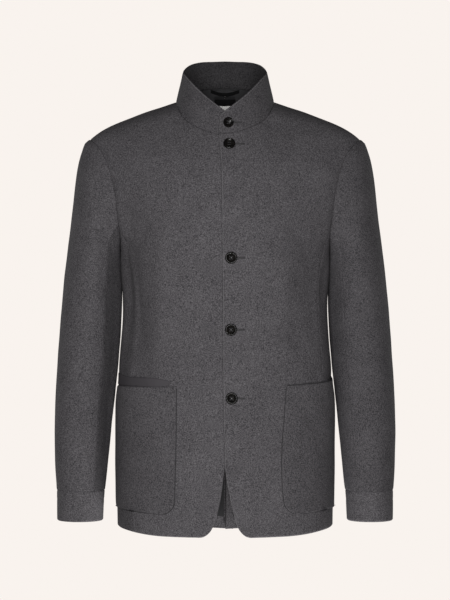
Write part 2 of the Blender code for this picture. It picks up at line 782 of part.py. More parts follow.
def build_collar(finished):
    """The stand collar and its dark facing. Returns the collar's outer points."""
    halves = {side: collar_half(side, finished) for side in ("left", "right")}
    low, high = (
        np.concatenate([mirrored(halves["right"][k], "right")[:0:-1], halves["left"][k]]) for k in (0, 1)
    )
    rise = np.linspace(0, 1, COLLAR_ROWS + 1)[:, None, None]
    grid = blend(low[None], high[None], rise)
    axis = np.stack([0 * grid[..., 0], 0 * grid[..., 1] + NECK_MIDDLE_Y, grid[..., 2]], axis=2)
    normals = facing_out(grid, grid_normals(grid), axis)
    add_cloth("collar", grid, normals, wool())
    inner = grid.copy()
    inner[-1] -= np.array([0, 0, SEAM_GAP])
    off = np.full(grid.shape[:2], -CLOTH - SEAM_GAP)
    add_cloth("collar_facing", inner, normals, dark_lining(), LINING, off, gap=SEAM_GAP)
    return grid, normals


def on_front(side, heights, places, foot_height):
    """Points of a front's form by height and by distance along the cloth from the pocket's inner edge."""
    edge_at = smooth_curve(POCKET_EDGE[side]["height"], POCKET_EDGE[side]["across"])
    _, along = quarter(foot_height, "front")
    inner = turn_across(edge_at(foot_height), foot_height) * along[-1]
    return around((inner + places) / along[-1], heights)


def lay_on_front(name, side, rows, lift, finish, thickness=CLOTH):
    """A cloth wall on a front, made from the form's points and moved out with the front's own folds."""
    grid = mirrored(np.array(rows), side)
    middle = np.stack([0 * grid[..., 0], 0 * grid[..., 1], grid[..., 2]], axis=2)
    normals = facing_out(grid, grid_normals(grid), middle)
    lift = lift + fold_height(grid, FRONT_FOLDS) * (grid[..., 1] < 0) + LAY_GAP + thickness
    if side == "left":
        lift = lift + lap(grid)
    add_cloth(name, grid, normals, finish, thickness, lift, gap=0.0)


def pocket_mouth(side, shares):
    """The height of a pocket's mouth, by share of its width."""
    return blend(*POCKET_MOUTH[side], shares) - POCKET_HANG[side] * np.sin(shares * np.pi)


def pocket_gape(side, shares):
    """How far a pocket's mouth stands open, by share of its width."""
    return POCKET_GAPE[side] * np.sin(shares * np.pi) ** 2


def build_pockets():
    """Patch pockets on the fronts and side panels, round at the foot, with mouths that stand a little open."""
    corner_turn = np.radians(np.linspace(0, 90, 4))
    foot = POCKET_CORNER * (1 - np.cos(corner_turn))
    draw_in = POCKET_CORNER * (1 - np.sin(corner_turn))
    rises = np.concatenate([foot, np.full(POCKET_ROWS, POCKET_CORNER)])
    ups = np.concatenate([np.zeros(len(foot)), np.linspace(0, 1, POCKET_ROWS + 1)[1:]])
    ins = np.concatenate([draw_in, np.zeros(POCKET_ROWS)])
    shares = np.linspace(0, 1, POCKET_COLUMNS + 1)
    for side in ("left", "right"):
        rows = []
        for rise, up, drawn in zip(rises, ups, ins):
            heights = blend(blend(*POCKET_BOTTOM, shares) + rise, pocket_mouth(side, shares), up)
            places = blend(drawn, POCKET_WIDTH - drawn, shares)
            rows.append(on_front(side, heights, places, heights[0]))
        lay_on_front("pocket_" + side, side, rows, pocket_gape(side, shares) * ups[:, None] ** 2, wool())


def build_pocket_facing():
    """The plain facing on the right front, behind and above the open mouth of its pocket."""
    shares = np.linspace(FACING_TOP["share"][0], FACING_TOP["share"][-1], FACING_COLUMNS + 1)
    mouth = pocket_mouth("right", shares)
    inside = pocket_gape("right", shares) / POCKET_GAPE["right"]
    low = mouth + FACING_CLEAR - (FACING_DEPTH + FACING_CLEAR) * inside**2
    high = smooth_curve(FACING_TOP["share"], FACING_TOP["height"])(shares)
    rows = []
    for up in np.linspace(0, 1, FACING_ROWS + 1):
        rows.append(on_front("right", blend(low, high, up), shares * POCKET_WIDTH, mouth[0]))
    lay_on_front("pocket_facing_right", "right", rows, 0.0, dark_lining(), LINING)


def place_behind(grid, normals, x, z):
    """The point of a grid that lies behind a place seen from the front, and its normal."""
    best = None
    shares = np.linspace(0, 1, PLACE_STEPS)[:, None]
    for i in range(grid.shape[0] - 1):
        for j in range(grid.shape[1] - 1):
            corner = grid[i, j]
            if np.hypot(corner[0] - x, corner[2] - z) > PLACE_REACH:
                continue
            low = blend(grid[i, j], grid[i, j + 1], shares)
            high = blend(grid[i + 1, j], grid[i + 1, j + 1], shares)
            patch = blend(low[:, None], high[:, None], shares[None])
            off = np.hypot(patch[..., 0] - x, patch[..., 2] - z)
            if patch[..., 1].mean() < 0 and (best is None or off.min() < best[0]):
                facing = normals[i : i + 2, j : j + 2].reshape(-1, 3).mean(axis=0)
                best = (off.min(), patch.reshape(-1, 3)[off.argmin()], facing)
    return best[1], best[2] / np.linalg.norm(best[2])


def build_buttons(finished, collar):
    """Turned buttons with a raised rim and a thread shank, standing on the left front and the collar's end."""
    finish = material("horn_button", HORN_COLOUR, 0.35)
    for number, (x, z, radius) in enumerate(zip(*BUTTONS.values()), 1):
        carrier = collar if number == 1 else finished["front_left"]
        point, normal = place_behind(*carrier, x, z)
        rings = [(SHANK_RADIUS, SEAM_GAP - BUTTON_LIFT), (SHANK_RADIUS, 0.0)]
        for share, height in zip(*BUTTON_OUTLINE.values()):
            rings.append((share * radius, height * BUTTON_THICKNESS))
        frame = np.array(Vector(normal).to_track_quat("Z", "Y").to_matrix())
        angles = np.linspace(0, 2 * np.pi, BUTTON_SIDES, endpoint=False)
        points = []
        for ring_radius, height in rings:
            for a in angles:
                local = np.array([ring_radius * math.cos(a), ring_radius * math.sin(a), height + BUTTON_LIFT])
                points.append(point + frame @ local)
        faces = []
        for i in range(len(rings) - 1):
            for j in range(BUTTON_SIDES):
                k = (j + 1) % BUTTON_SIDES
                low = i * BUTTON_SIDES
                faces.append((low + j, low + k, low + BUTTON_SIDES + k, low + BUTTON_SIDES + j))
        faces.append(tuple(reversed(range(BUTTON_SIDES))))
        faces.append(tuple(range((len(rings) - 1) * BUTTON_SIDES, len(rings) * BUTTON_SIDES)))
        add_solid(f"button_{number}", np.array(points), faces, finish)


def inside_back(x, z, off):
    """Points inside the back neck, off the lining's inner face by that much, and their inward normals."""
    step = 1.0
    slope_x = (depth_at(x + step, z, "back") - depth_at(x - step, z, "back")) / (2 * step)
    slope_z = (depth_at(x, z + step, "back") - depth_at(x, z - step, "back")) / (2 * step)
    inwards = np.stack([slope_x, -np.ones_like(x), slope_z], axis=-1)
    inwards /= np.linalg.norm(inwards, axis=-1, keepdims=True)
    lining_face = CLOTH + LAY_GAP + LINING
    point = np.stack([x, depth_at(x, z, "back"), z], axis=-1)
    return point + inwards * (lining_face + off)[..., None], inwards


def build_neck_trim():
    """The hanger loop, the bare label and its pale tab, inside the back neck."""
    tape = material("black_tape", TAPE_COLOUR, 0.7)
    pale = material("pale_tab", TAB_COLOUR, 0.75)
    share = np.linspace(-1, 1, LOOP_STEPS + 1)
    hang = np.broadcast_to(1 - share**2, (2, len(share)))
    x = np.broadcast_to(share * LOOP_HALF_SPAN, hang.shape)
    z = LOOP_TOP - LOOP_SAG * hang - np.array([[LOOP_WIDTH], [0.0]])
    grid, inwards = inside_back(x, z, LAY_GAP + LABEL_CLOTH + LOOP_STAND_OFF * hang**2)
    add_cloth("hanger_loop", grid, inwards, tape, LABEL_CLOTH, gap=0.0)
    for name, half_width, top, bottom, finish in (
        ("neck_label", LABEL_HALF_WIDTH, LABEL_TOP, LABEL_BOTTOM, tape),
        ("label_tab", TAB_HALF_WIDTH, LABEL_BOTTOM, TAB_BOTTOM, pale),
    ):
        x, z = np.meshgrid(np.linspace(-half_width, half_width, 7), np.linspace(bottom, top, 3))
        grid, inwards = inside_back(x, z, np.full(x.shape, LABEL_LAY + LABEL_CLOTH))
        add_cloth(name, grid, inwards, finish, LABEL_CLOTH)


for old in list(bpy.data.objects):
    bpy.data.objects.remove(old, do_unlink=True)

body = build_body()
build_sleeves()
collar_grid = build_collar(body)
build_pockets()
build_pocket_facing()
build_buttons(body, collar_grid)
build_neck_trim()
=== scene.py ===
"""The look of a stand-collar suit jacket in grey wool flannel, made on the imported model's own panels."""

import math

import bmesh
import bpy
import numpy as np
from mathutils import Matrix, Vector, noise
from mathutils.bvhtree import BVHTree
from numpy.linalg import norm


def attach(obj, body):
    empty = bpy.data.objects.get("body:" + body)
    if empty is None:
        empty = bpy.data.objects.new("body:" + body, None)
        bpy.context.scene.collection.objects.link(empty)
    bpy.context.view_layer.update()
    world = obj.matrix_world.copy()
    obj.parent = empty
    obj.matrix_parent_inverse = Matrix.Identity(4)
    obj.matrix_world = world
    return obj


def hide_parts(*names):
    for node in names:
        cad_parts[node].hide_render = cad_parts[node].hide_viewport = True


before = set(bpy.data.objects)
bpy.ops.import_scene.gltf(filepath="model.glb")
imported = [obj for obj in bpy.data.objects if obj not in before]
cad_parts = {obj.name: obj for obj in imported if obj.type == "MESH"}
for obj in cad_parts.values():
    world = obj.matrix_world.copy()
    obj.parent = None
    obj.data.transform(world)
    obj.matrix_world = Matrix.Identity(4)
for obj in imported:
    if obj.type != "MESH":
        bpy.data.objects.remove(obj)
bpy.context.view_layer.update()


# The studio. The jacket hangs as if worn, well above a pale floor, in a cream surround. One large soft light
# stands in front and a little to the left, with weak ones behind at the sides and low down. The camera is
# level with the jacket's middle.
CAMERA_DISTANCE = 4.0
CAMERA_HEIGHT = -0.33235
LENS = 141.2
SENSOR_WIDTH = 36
FLOOR_HEIGHT = -1.45
FLOOR_RADIUS = 1.2
FLOOR_COLOUR = (0.80, 0.77, 0.73, 1)
FLOOR_ROUGHNESS = 0.8
SURROUND = (0.947, 0.896, 0.855, 1)
SURROUND_LIGHT = 0.04
LIGHTS = {  # where each stands, the point it faces, its width and its watts
    "key_light": ((-0.15, -3.0, -0.36), (0, 0, -0.42), 1.3, 76),
    "left_light": ((-2.6, 2.5, -0.10), (0, 0, -0.40), 1.5, 26),
    "right_light": ((2.6, 2.5, -0.10), (0, 0, -0.40), 1.5, 26),
    "low_light": ((0.13, -0.05, -1.28), (0, -0.02, -0.80), 0.3, 5.2),
}


def show(name, data):
    """A new object in the scene."""
    made = bpy.data.objects.new(name, data)
    bpy.context.scene.collection.objects.link(made)
    return made


camera = show("camera", bpy.data.cameras.new("camera"))
camera.data.lens = LENS
camera.data.sensor_width = SENSOR_WIDTH
camera.location = (0, -CAMERA_DISTANCE, CAMERA_HEIGHT)
camera.rotation_euler = (math.pi / 2, 0, 0)
bpy.context.scene.camera = camera
bpy.context.scene.view_settings.view_transform = "Standard"

surround = bpy.data.worlds.new("surround")
surround.use_nodes = True
bpy.context.scene.world = surround
surround_tree = surround.node_tree
seen = surround_tree.nodes["Background"]
lit = surround_tree.nodes.new("ShaderNodeBackground")
lit.inputs["Strength"].default_value = SURROUND_LIGHT
for background in (seen, lit):
    background.inputs["Color"].default_value = SURROUND
ray = surround_tree.nodes.new("ShaderNodeLightPath")
either = surround_tree.nodes.new("ShaderNodeMixShader")
for k, source in enumerate((ray.outputs["Is Camera Ray"], lit.outputs[0], seen.outputs[0])):
    surround_tree.links.new(source, either.inputs[k])
surround_tree.links.new(either.outputs[0], surround_tree.nodes["World Output"].inputs["Surface"])

for name, (place, target, size, watts) in LIGHTS.items():
    lamp = bpy.data.lights.new(name, "AREA")
    lamp.size = size
    lamp.energy = watts
    light = show(name, lamp)
    light.location = place
    light.rotation_euler = (Vector(target) - Vector(place)).to_track_quat("-Z", "Y").to_euler()

floor_mesh = bmesh.new()
bmesh.ops.create_circle(floor_mesh, cap_ends=True, segments=96, radius=FLOOR_RADIUS)
floor_shape = bpy.data.meshes.new("floor")
bmesh.ops.translate(floor_mesh, verts=floor_mesh.verts, vec=(0, 0, FLOOR_HEIGHT))
floor_mesh.to_mesh(floor_shape)
floor_mesh.free()
floor = show("floor", floor_shape)
floor_paint = bpy.data.materials.new("floor_paint")
floor_paint.use_nodes = True
floor_inputs = floor_paint.node_tree.nodes["Principled BSDF"].inputs
floor_inputs["Base Color"].default_value = FLOOR_COLOUR
floor_inputs["Roughness"].default_value = FLOOR_ROUGHNESS
floor_shape.materials.append(floor_paint)


# The cloth: a mid-weight wool flannel spun from dark and pale fibres, so that it looks grey with a fine
# fleck. It has a soft nap over a twill weave, and the same cloth makes every outer piece of the jacket.
MM = 0.001  # tables and small sizes are in millimetres
DARK_FIBRE = (0.026, 0.024, 0.027)
PALE_FIBRE = (0.150, 0.142, 0.151)
SMALL_FLECK = 0.7 * MM
LARGE_FLECK = 1.7 * MM
CLOUD = 38 * MM
TWILL_RIBS = 210.0
NAP_RELIEF = 0.30 * MM
WOOL_SURFACE = {
    "Specular IOR Level": 0.22,
    "Sheen Weight": 0.03,
    "Sheen Roughness": 0.55,
    "Sheen Tint": (0.75, 0.73, 0.76, 1),
}


class Tone:
    """A value, colour, vector or mesh in a node tree. Arithmetic on values adds Math nodes."""

    def __init__(self, tree, socket=None):
        self.tree = tree
        self.socket = socket

    def add(self, kind, sockets, output=0, **settings):
        """A node of any kind, from the values or links of its sockets and from its settings."""
        made = self.tree.nodes.new(kind)
        for name, value in settings.items():
            setattr(made, name, value)
        for name, value in sockets.items():
            if isinstance(value, Tone):
                self.tree.links.new(value.socket, made.inputs[name])
            else:
                made.inputs[name].default_value = value
        return Tone(self.tree, made.outputs[output])

    def reckon(self, operation, other):
        return self.add("ShaderNodeMath", {0: self, 1: other}, operation=operation)

    def __add__(self, other):
        return self.reckon("ADD", other)

    def __sub__(self, other):
        return self.reckon("SUBTRACT", other)

    def __mul__(self, other):
        return self.reckon("MULTIPLY", other)

    def feed(self, shader, name):
        self.tree.links.new(self.socket, shader.inputs[name])


def new_finish(name, surface):
    """A material with some values of its surface set, its shader, and the start of its nodes."""
    finish = bpy.data.materials.new(name)
    finish.use_nodes = True
    shader = finish.node_tree.nodes["Principled BSDF"]
    for key, value in surface.items():
        shader.inputs[key].default_value = value
    return finish, shader, Tone(finish.node_tree)


def fleck(tone, place, size, detail=2.0, roughness=0.6):
    """Soft spots about size metres across, as a value round 0.5."""
    sockets = {"Vector": place, "Scale": 1 / size, "Detail": detail, "Roughness": roughness}
    return tone.add("ShaderNodeTexNoise", sockets, "Fac", noise_dimensions="3D")


def ribs(tone, place, direction, scale, distortion):
    """Ribs of thread that run one way, as a value."""
    sockets = {"Vector": place, "Scale": scale, "Distortion": distortion, "Detail": 1.0}
    kind = {"wave_type": "BANDS", "bands_direction": direction, "wave_profile": "SIN"}
    return tone.add("ShaderNodeTexWave", sockets, "Fac", **kind)


def colour_between(tone, share, first, second):
    """A colour that goes from the first to the second with a share."""
    sockets = {0: share, 6: (*first, 1), 7: (*second, 1)}
    return tone.add("ShaderNodeMix", sockets, 2, data_type="RGBA", clamp_factor=True)


def emboss(shader, height, strength, depth):
    """A fine relief on a shader, from a height."""
    relief = {"Strength": strength, "Distance": depth, "Height": height}
    height.add("ShaderNodeBump", relief).feed(shader, "Normal")


def wool_finish(name, shade=1.0):
    """Flannel: dark and pale fibres in small flecks, a faint cloudiness, and a napped twill relief.

    A shade below 1 darkens the whole colour. It paints the shade that falls on some pieces, and makes
    the collar facing much darker.
    """
    finish, shader, tone = new_finish(name, WOOL_SURFACE)
    place = tone.add("ShaderNodeTexCoord", {}, "Object")
    woven = tone.add("ShaderNodeTexCoord", {}, "UV")
    small = fleck(tone, place, SMALL_FLECK)
    spots = fleck(tone, place, LARGE_FLECK, detail=1.0, roughness=0.5)
    cloud = fleck(tone, place, CLOUD, roughness=0.5)
    share = (small - 0.5) * 1.6 + (spots - 0.5) * 2.2 + (cloud - 0.5) * 0.3 + 0.5
    dark, pale = (tuple(shade * part for part in fibre) for fibre in (DARK_FIBRE, PALE_FIBRE))
    colour_between(tone, share, dark, pale).feed(shader, "Base Color")
    twill = ribs(tone, woven, "DIAGONAL", TWILL_RIBS, distortion=1.2)
    nap = small * 0.6 + spots * 0.9 + twill * 0.12
    emboss(shader, nap, strength=0.30, depth=NAP_RELIEF)
    (spots * 0.12 + 0.80).feed(shader, "Roughness")
    return finish


wool = wool_finish("wool_flannel")


# The lining: a smooth black satin sewn inside the body and sleeves. It shows in the neck, through the
# cut-away at the hem, in the vent and in the cuffs.
SATIN_GRAIN = 1.2 * MM
SATIN_CLOUD = 30 * MM
SATIN_RELIEF = 0.12 * MM


def satin_finish(name, dark, pale, roughness):
    """A smooth woven satin with faint lengthwise streaks."""
    finish, shader, tone = new_finish(name, {"Specular IOR Level": 0.25})
    place = tone.add("ShaderNodeTexCoord", {}, "Object")
    streaks = tone.add("ShaderNodeMapping", {"Vector": place, "Scale": (1.0, 1.0, 0.12)})
    grain = fleck(tone, streaks, SATIN_GRAIN)
    cloud = fleck(tone, place, SATIN_CLOUD)
    colour_between(tone, grain * 0.6 + cloud * 0.4, dark, pale).feed(shader, "Base Color")
    (grain * 0.15 + roughness).feed(shader, "Roughness")
    emboss(shader, grain, strength=0.25, depth=SATIN_RELIEF)
    return finish


lining = satin_finish("black_lining", (0.011, 0.011, 0.012), (0.030, 0.029, 0.031), roughness=0.50)


# The two fronts, and how every panel is made. A panel is cut flat, sewn to its neighbours and pressed. It is
# a thin wall on the outer face of its own solid, made finer, with a dip along each sewn seam, a rounded turn
# at each free edge, and soft creases. The left front laps over the right one.
SIDES = ("left", "right")
CLOTH = 1.8 * MM
RIM_SIDE = 1.3  # a solid's face with a side under this many thicknesses is on its rim
BODY_STEP = (6 * MM, 4.5 * MM)  # a large panel is cut about this fine, up and across
# distances from an edge at which a panel has a line of its grid, to round the edge off
EDGE_STEPS = np.array([0.25, 0.6, 1.1, 1.8, 2.7, 4.0, 6.0]) * MM
CLOSEST_LINES = 0.2 * MM  # lines of a panel's grid that would come closer are left out
SEAM_DEPTH = 0.35 * MM
SEAM_WIDTH = 1.3 * MM
SEAM_WAVES = ((0.16, 0.011, 0.0), (0.12, 0.0047, 1.3))  # share, size and start of a seam's unevenness
SEAM_CALM = 14 * MM  # creases fade out in this distance from a seam
SEAM_HOLD = 30 * MM  # larger forms fade out in this distance from the armhole
HOLD_FADE = 20 * MM  # that hold sets in over this height
SEAM_REACH = 0.17 * MM  # how far a sewn edge goes out to meet its neighbour
EDGE_ROLL = 0.97  # how much of the cloth's thickness a turned edge rolls over
EDGE_CURVE = 1.6  # how sharply a turned edge rolls
STITCH_GROOVE = 0.9 * MM  # half the width of the groove that a row of stitches draws in
STITCH_DEPTH = 0.35 * MM
EDGE_TURN = 1.25  # thicknesses of cloth in which a turned edge rolls over
POINTS_JOIN = 0.01 * MM  # points closer than this are one
CREASE_WANDER = 0.25  # how far a crease bends to the sides, in half-widths
CREASE_BENDS = 2.3  # how much it turns along its half-length, in radians
CREASE_FACING = 1.5  # the higher this is, the later a crease fades where the cloth turns away
FORM_FACING = 2.5  # the same for a larger form
SLACK_SHIFT = (1, 0.37, 0.71)  # the way a seed moves the unevenness of the cloth
RING_LAP = 5  # columns of a closed band that are repeated past its join
RING_CUTS = 6  # fine columns for each of the band's own
CORNER_FADE = 3.0  # grid steps over which a panel's corner in its edge fades into the smooth cloth
CORNER_REACH = 5  # grid steps over which a rounded corner takes its direction from the cloth round about
LINES_MEET = 0.35  # the sine of the angle below which two lines count as run together


def outer_face(node, wall=CLOTH, ring=False):
    """The outer face of a cloth solid as points[row, column].

    Rows go up, and columns go to the right seen from outside.
    """
    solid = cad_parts[node].data
    corners = np.array([corner.co for corner in solid.vertices])
    places, same = np.unique(np.round(corners, 5), axis=0, return_inverse=True)
    faces = same.reshape(-1)[np.array([face.vertices for face in solid.polygons])]
    sides = norm(places[faces] - places[np.roll(faces, -1, axis=1)], axis=2)
    faces = faces[sides.min(axis=1) > RIM_SIDE * wall]

    # Without its rims the wall falls into two sheets, and the outer one is the larger.
    sheet_of = np.arange(len(places))
    for _ in range(len(places)):
        lowest = sheet_of[faces].min(axis=1)
        before = sheet_of.copy()
        for column in faces.T:
            np.minimum.at(sheet_of, column, lowest)
        if (before == sheet_of).all():
            break
    sheets = sheet_of[faces[:, 0]]
    first, second, third = places[faces].swapaxes(0, 1)
    spans = np.cross(second - first, third - first)
    areas = {sheet: norm(spans[sheets == sheet], axis=1).sum() for sheet in np.unique(sheets)}
    kept = sheets == max(areas, key=areas.get)
    facing = spans[kept].sum(axis=0)
    faces = faces[kept].tolist()

    # The border runs round the sheet, and from its length and the number of points come the rows and columns.
    touching = {}
    follow = set()
    for number, face in enumerate(faces):
        for k in range(3):
            touching.setdefault(face[k], []).append(number)
            follow.add((face[k - 1], face[k]))
    border = {a: b for a, b in follow if (b, a) not in follow}
    loop = [min(border, key=lambda corner: (places[corner][2], corner))]
    while border[loop[-1]] != loop[0]:
        loop.append(border[loop[-1]])

    def row_above(row, used):
        """The next row: the far side of the strip of faces that touch this one."""
        strip = {number for corner in row for number in touching[corner]} - used
        used |= strip
        far = {}
        for number in strip:
            upper = [corner for corner in faces[number] if corner not in row]
            for corner in upper:
                far.setdefault(corner, set()).update(other for other in upper if other != corner)
        ends = [corner for corner, others in far.items() if len(others) == 1]
        if ring and far:
            ends = [min(far, key=lambda corner: (norm(places[corner] - places[row[0]]), corner))]
        near = {corner for number in strip if row[0] in faces[number] for corner in faces[number]}
        starts = [corner for corner in ends if corner in near]
        if len(far) != len(row) or not starts:
            return None
        line = [min(starts, key=lambda corner: norm(places[corner] - places[row[0]]))]
        while len(line) < len(far):
            fresh = sorted(far[line[-1]] - set(line))
            if not fresh:
                return None
            goal = places[row[len(line)]]
            line.append(min(fresh, key=lambda corner: norm(places[corner] - goal)))
        return line

    def walk(row):
        """All rows from a first one, or nothing where it isn't a whole edge of the sheet."""
        used = set()
        grid = [row]
        while len(grid) * len(row) < len(touching):
            row = row_above(row, used)
            if row is None:
                return None
            grid.append(row)
        return grid

    if ring:
        grid = walk(loop)
        grid = [row + row[:1] for row in grid]
    else:
        half = (len(loop) + 4) / 2
        spread = math.sqrt(half**2 - 4 * len(touching))
        grid = None
        for width in (round((half - spread) / 2), round((half + spread) / 2)):
            for turn in range(len(loop)):
                row = (loop[turn:] + loop[:turn])[:width]
                if grid is None and max(len(touching[row[0]]), len(touching[row[-1]])) <= 2:
                    grid = walk(row)
    points = places[np.array(grid)]

    climb = points[..., 2]
    if not ring and abs((climb[-1] - climb[0]).mean()) < abs((climb[:, -1] - climb[:, 0]).mean()):
        points = points.swapaxes(0, 1)
    if points[-1, :, 2].mean() < points[0, :, 2].mean():
        points = points[::-1]
    crossing = np.cross(points[1:, 1:] - points[:-1, :-1], points[1:, :-1] - points[:-1, 1:])
    if crossing.sum(axis=(0, 1)) @ facing < 0:
        points = points[:, ::-1]
    return points


def spline(points, at, axis):
    """A grid read along one axis, on smooth lines through its points, at places counted in grid steps."""
    points = np.moveaxis(points, axis, 0)
    count = len(points)
    bend = np.zeros_like(points)
    if count > 3:
        band = 4 * np.eye(count - 2) + np.eye(count - 2, k=1) + np.eye(count - 2, k=-1)
        band[0, 0] = band[-1, -1] = 5
        bend[1:-1] = np.tensordot(np.linalg.inv(band), 6 * (points[:-2] - 2 * points[1:-1] + points[2:]), 1)
        bend[0] = bend[1]
        bend[-1] = bend[-2]
    cell = np.clip(np.floor(at).astype(int), 0, count - 2)
    share = (at - cell).reshape((-1,) + (1,) * (points.ndim - 1))
    curve = (2 - share) * bend[cell] + (1 + share) * bend[cell + 1]
    line = points[cell] + share * (points[cell + 1] - points[cell]) - share * (1 - share) * curve / 6
    return np.moveaxis(line, 0, axis)


def split_spline(points, at, corner):
    """The same lines up a grid with a corner left in them at one row."""
    low, high = points[: corner + 1], points[corner:]
    return np.concatenate([spline(low, at[at <= corner], 0), spline(high, at[at > corner] - corner, 0)])


def eased(x):
    """A soft step from 0 to 1."""
    x = np.clip(x, 0, 1)
    return x * x * (3 - 2 * x)


def places_along(points, axis, step):
    """Where a grid is cut along one axis: about every step, and closer by its two edges."""
    lengths = norm(np.diff(points, axis=axis), axis=2).mean(axis=1 - axis)
    at = [len(lengths)]
    for cell, length in enumerate(lengths):
        count = max(1, round(length / step))
        at.extend(cell + np.arange(count) / count)
    at.extend(EDGE_STEPS / lengths[0])
    at.extend(len(lengths) - EDGE_STEPS / lengths[-1])
    at = np.unique(np.round(at, 5))
    apart = np.diff(at) * lengths[np.clip(at[:-1].astype(int), 0, len(lengths) - 1)]
    return at[np.concatenate([[True], apart > CLOSEST_LINES])]


def run(points, axis):
    """The length along each line of a grid from its first edge."""
    steps = norm(np.diff(points, axis=axis), axis=2)
    start = np.zeros_like(np.take(steps, [0], axis=axis))
    return np.concatenate([start, np.cumsum(steps, axis=axis)], axis=axis)


def face_out(points, ring=False):
    """The outward direction at every point of a grid."""
    across = np.gradient(points, axis=1)
    if ring:
        across[:, 0] = across[:, -1] = points[:, 1] - points[:, -2]
    up = np.gradient(points, axis=0)
    out = np.cross(across, up)

    # Where the lines run together in a rounded corner, the cloth round about says which way is out.
    apart = norm(out, axis=2) / (norm(across, axis=2) * norm(up, axis=2))
    wide = np.pad(out, ((CORNER_REACH, CORNER_REACH), (CORNER_REACH, CORNER_REACH), (0, 0)))
    window = (2 * CORNER_REACH + 1, 2 * CORNER_REACH + 1)
    around = np.lib.stride_tricks.sliding_window_view(wide, window, axis=(0, 1)).sum(axis=(-2, -1))
    out = np.where(apart[..., None] < LINES_MEET, around, out)
    return out / np.maximum(norm(out, axis=2, keepdims=True), 1e-12)


EDGE_LINES = {
    "bottom": (np.s_[0, :], np.s_[1, :]),
    "top": (np.s_[-1, :], np.s_[-2, :]),
    "left": (np.s_[:, 0], np.s_[:, 1]),
    "right": (np.s_[:, -1], np.s_[:, -2]),
}


class Panel:
    """A cloth piece on the finer outer face of its solid, with the distances from its four edges."""

    def __init__(self, node, step, wall=CLOTH, ring=False, corner_row=None):
        points = outer_face(node, wall, ring)
        self.node = node
        self.ring = ring
        self.wall = wall
        if ring:
            before = points[:, -RING_LAP - 1 : -1]
            points = np.concatenate([before, points, points[:, 1 : RING_LAP + 1]], axis=1)
        rows = places_along(points, 0, step[0])
        columns = places_along(points, 1, step[1])
        if ring:
            count = points.shape[1] - 2 * RING_LAP - 1
            columns = np.round(np.arange(count * RING_CUTS + 1) / RING_CUTS, 5) + RING_LAP
        smooth = spline(spline(points, rows, 0), columns, 1)
        if corner_row is not None:
            end = 0 if corner_row[1] == "left" else points.shape[1] - 1
            near = eased(1 - np.abs(columns - end) / CORNER_FADE)[None, :, None]
            cornered = spline(split_spline(points, rows, corner_row[0]), columns, 1)
            smooth = smooth + near * (cornered - smooth)
        self.points = smooth
        self.out = face_out(smooth, ring)
        up = run(smooth, 0)
        right = run(smooth, 1)
        self.cloth_map = np.stack([right, up], axis=2)
        self.from_edge = {"bottom": up, "top": up[-1:] - up, "left": right, "right": right[:, -1:] - right}
        self.form = np.zeros(up.shape)
        self.rise = np.zeros(up.shape)
        self.calm = np.ones(up.shape)
        self.dip = np.zeros(up.shape)
        self.turn = np.zeros(up.shape)

    def sewn(self, *edges, depth=SEAM_DEPTH, share=1.0, reach=SEAM_REACH):
        """A seam: the cloth dips to it, a little unevenly along its length."""
        for edge in edges:
            along = self.cloth_map[..., 1 if edge in ("left", "right") else 0]
            uneven = 1
            for amount, size, start in SEAM_WAVES:
                uneven = uneven + amount * np.sin(along / size + start)
            away = self.from_edge[edge]
            self.dip += share * depth * uneven * np.exp(-((away / SEAM_WIDTH) ** 2))
            self.calm *= 1 - share * (1 - eased(away / SEAM_CALM))
            edge_line, inner_line = EDGE_LINES[edge]
            step = self.points[edge_line] - self.points[inner_line]
            step *= reach / norm(step, axis=-1, keepdims=True)
            self.points[edge_line] += step * np.broadcast_to(share, away.shape)[edge_line][..., None]

    def turned(self, *edges, share=1.0, roll=EDGE_TURN):
        """A free edge: the cloth is folded under, so its outer face rolls over to the inner one."""
        for edge in edges:
            inside = np.clip(1 - self.from_edge[edge] / (roll * self.wall), 0, 1)
            self.turn = np.maximum(self.turn, share * EDGE_ROLL * self.wall * inside**EDGE_CURVE)

    def stitched(self, *edges, inset, depth=STITCH_DEPTH):
        """A row of stitches near a free edge: it draws the cloth in along a shallow groove."""
        for edge in edges:
            self.rise -= depth * np.exp(-(((self.from_edge[edge] - inset) / STITCH_GROOVE) ** 2))

    def crease(self, rows, towards, across_seams=False):
        """Soft troughs and ridges, laid on as seen from the front, the back or a side.

        Each row holds the middle across and up, half-length, half-width, lean from upright and depth.
        """
        raised = self.form if across_seams else self.rise
        views = {"front": (0, 1, -1), "back": (0, 1, 1), "right": (1, 0, -1), "left": (1, 0, 1)}
        wide, deep, sign = views[towards]
        late = FORM_FACING if across_seams else CREASE_FACING
        facing = eased(late * sign * self.out[..., deep])
        for across, up, half_length, half_width, lean, depth in np.array(rows, float):
            x = self.points[..., wide] / MM - across
            z = self.points[..., 2] / MM - up
            slope = math.radians(lean)
            length = (z * math.cos(slope) + x * math.sin(slope)) / half_length
            width = (x * math.cos(slope) - z * math.sin(slope)) / half_width
            wander = width + CREASE_WANDER * np.sin(CREASE_BENDS * length + across)
            raised += depth * MM * facing * np.exp(-(wander**2)) * np.exp(-(length**2))

    def held(self, edge, above=-1.0):
        """A seam that keeps its line: the forms that cross seams fade out beside it, above a height."""
        beside = 1 - eased(self.from_edge[edge] / SEAM_HOLD)
        self.form *= 1 - beside * eased((self.points[..., 2] - above) / HOLD_FADE)

    def slack(self, amount, size, seed):
        """The slight unevenness of pressed cloth."""
        shape = self.points.shape[:2]
        shift = Vector([part * seed for part in SLACK_SHIFT])
        flat = [noise.noise(Vector(point) / size + shift) for point in self.points.reshape(-1, 3)]
        self.rise += amount * np.array(flat).reshape(shape)

    def faces(self):
        """The outer and inner face with everything above laid on."""
        rise = self.form + self.rise * self.calm
        outer = self.points + self.out * (rise - self.dip - self.turn)[..., None]
        inner = self.points + self.out * (rise - self.wall)[..., None]
        return outer, inner


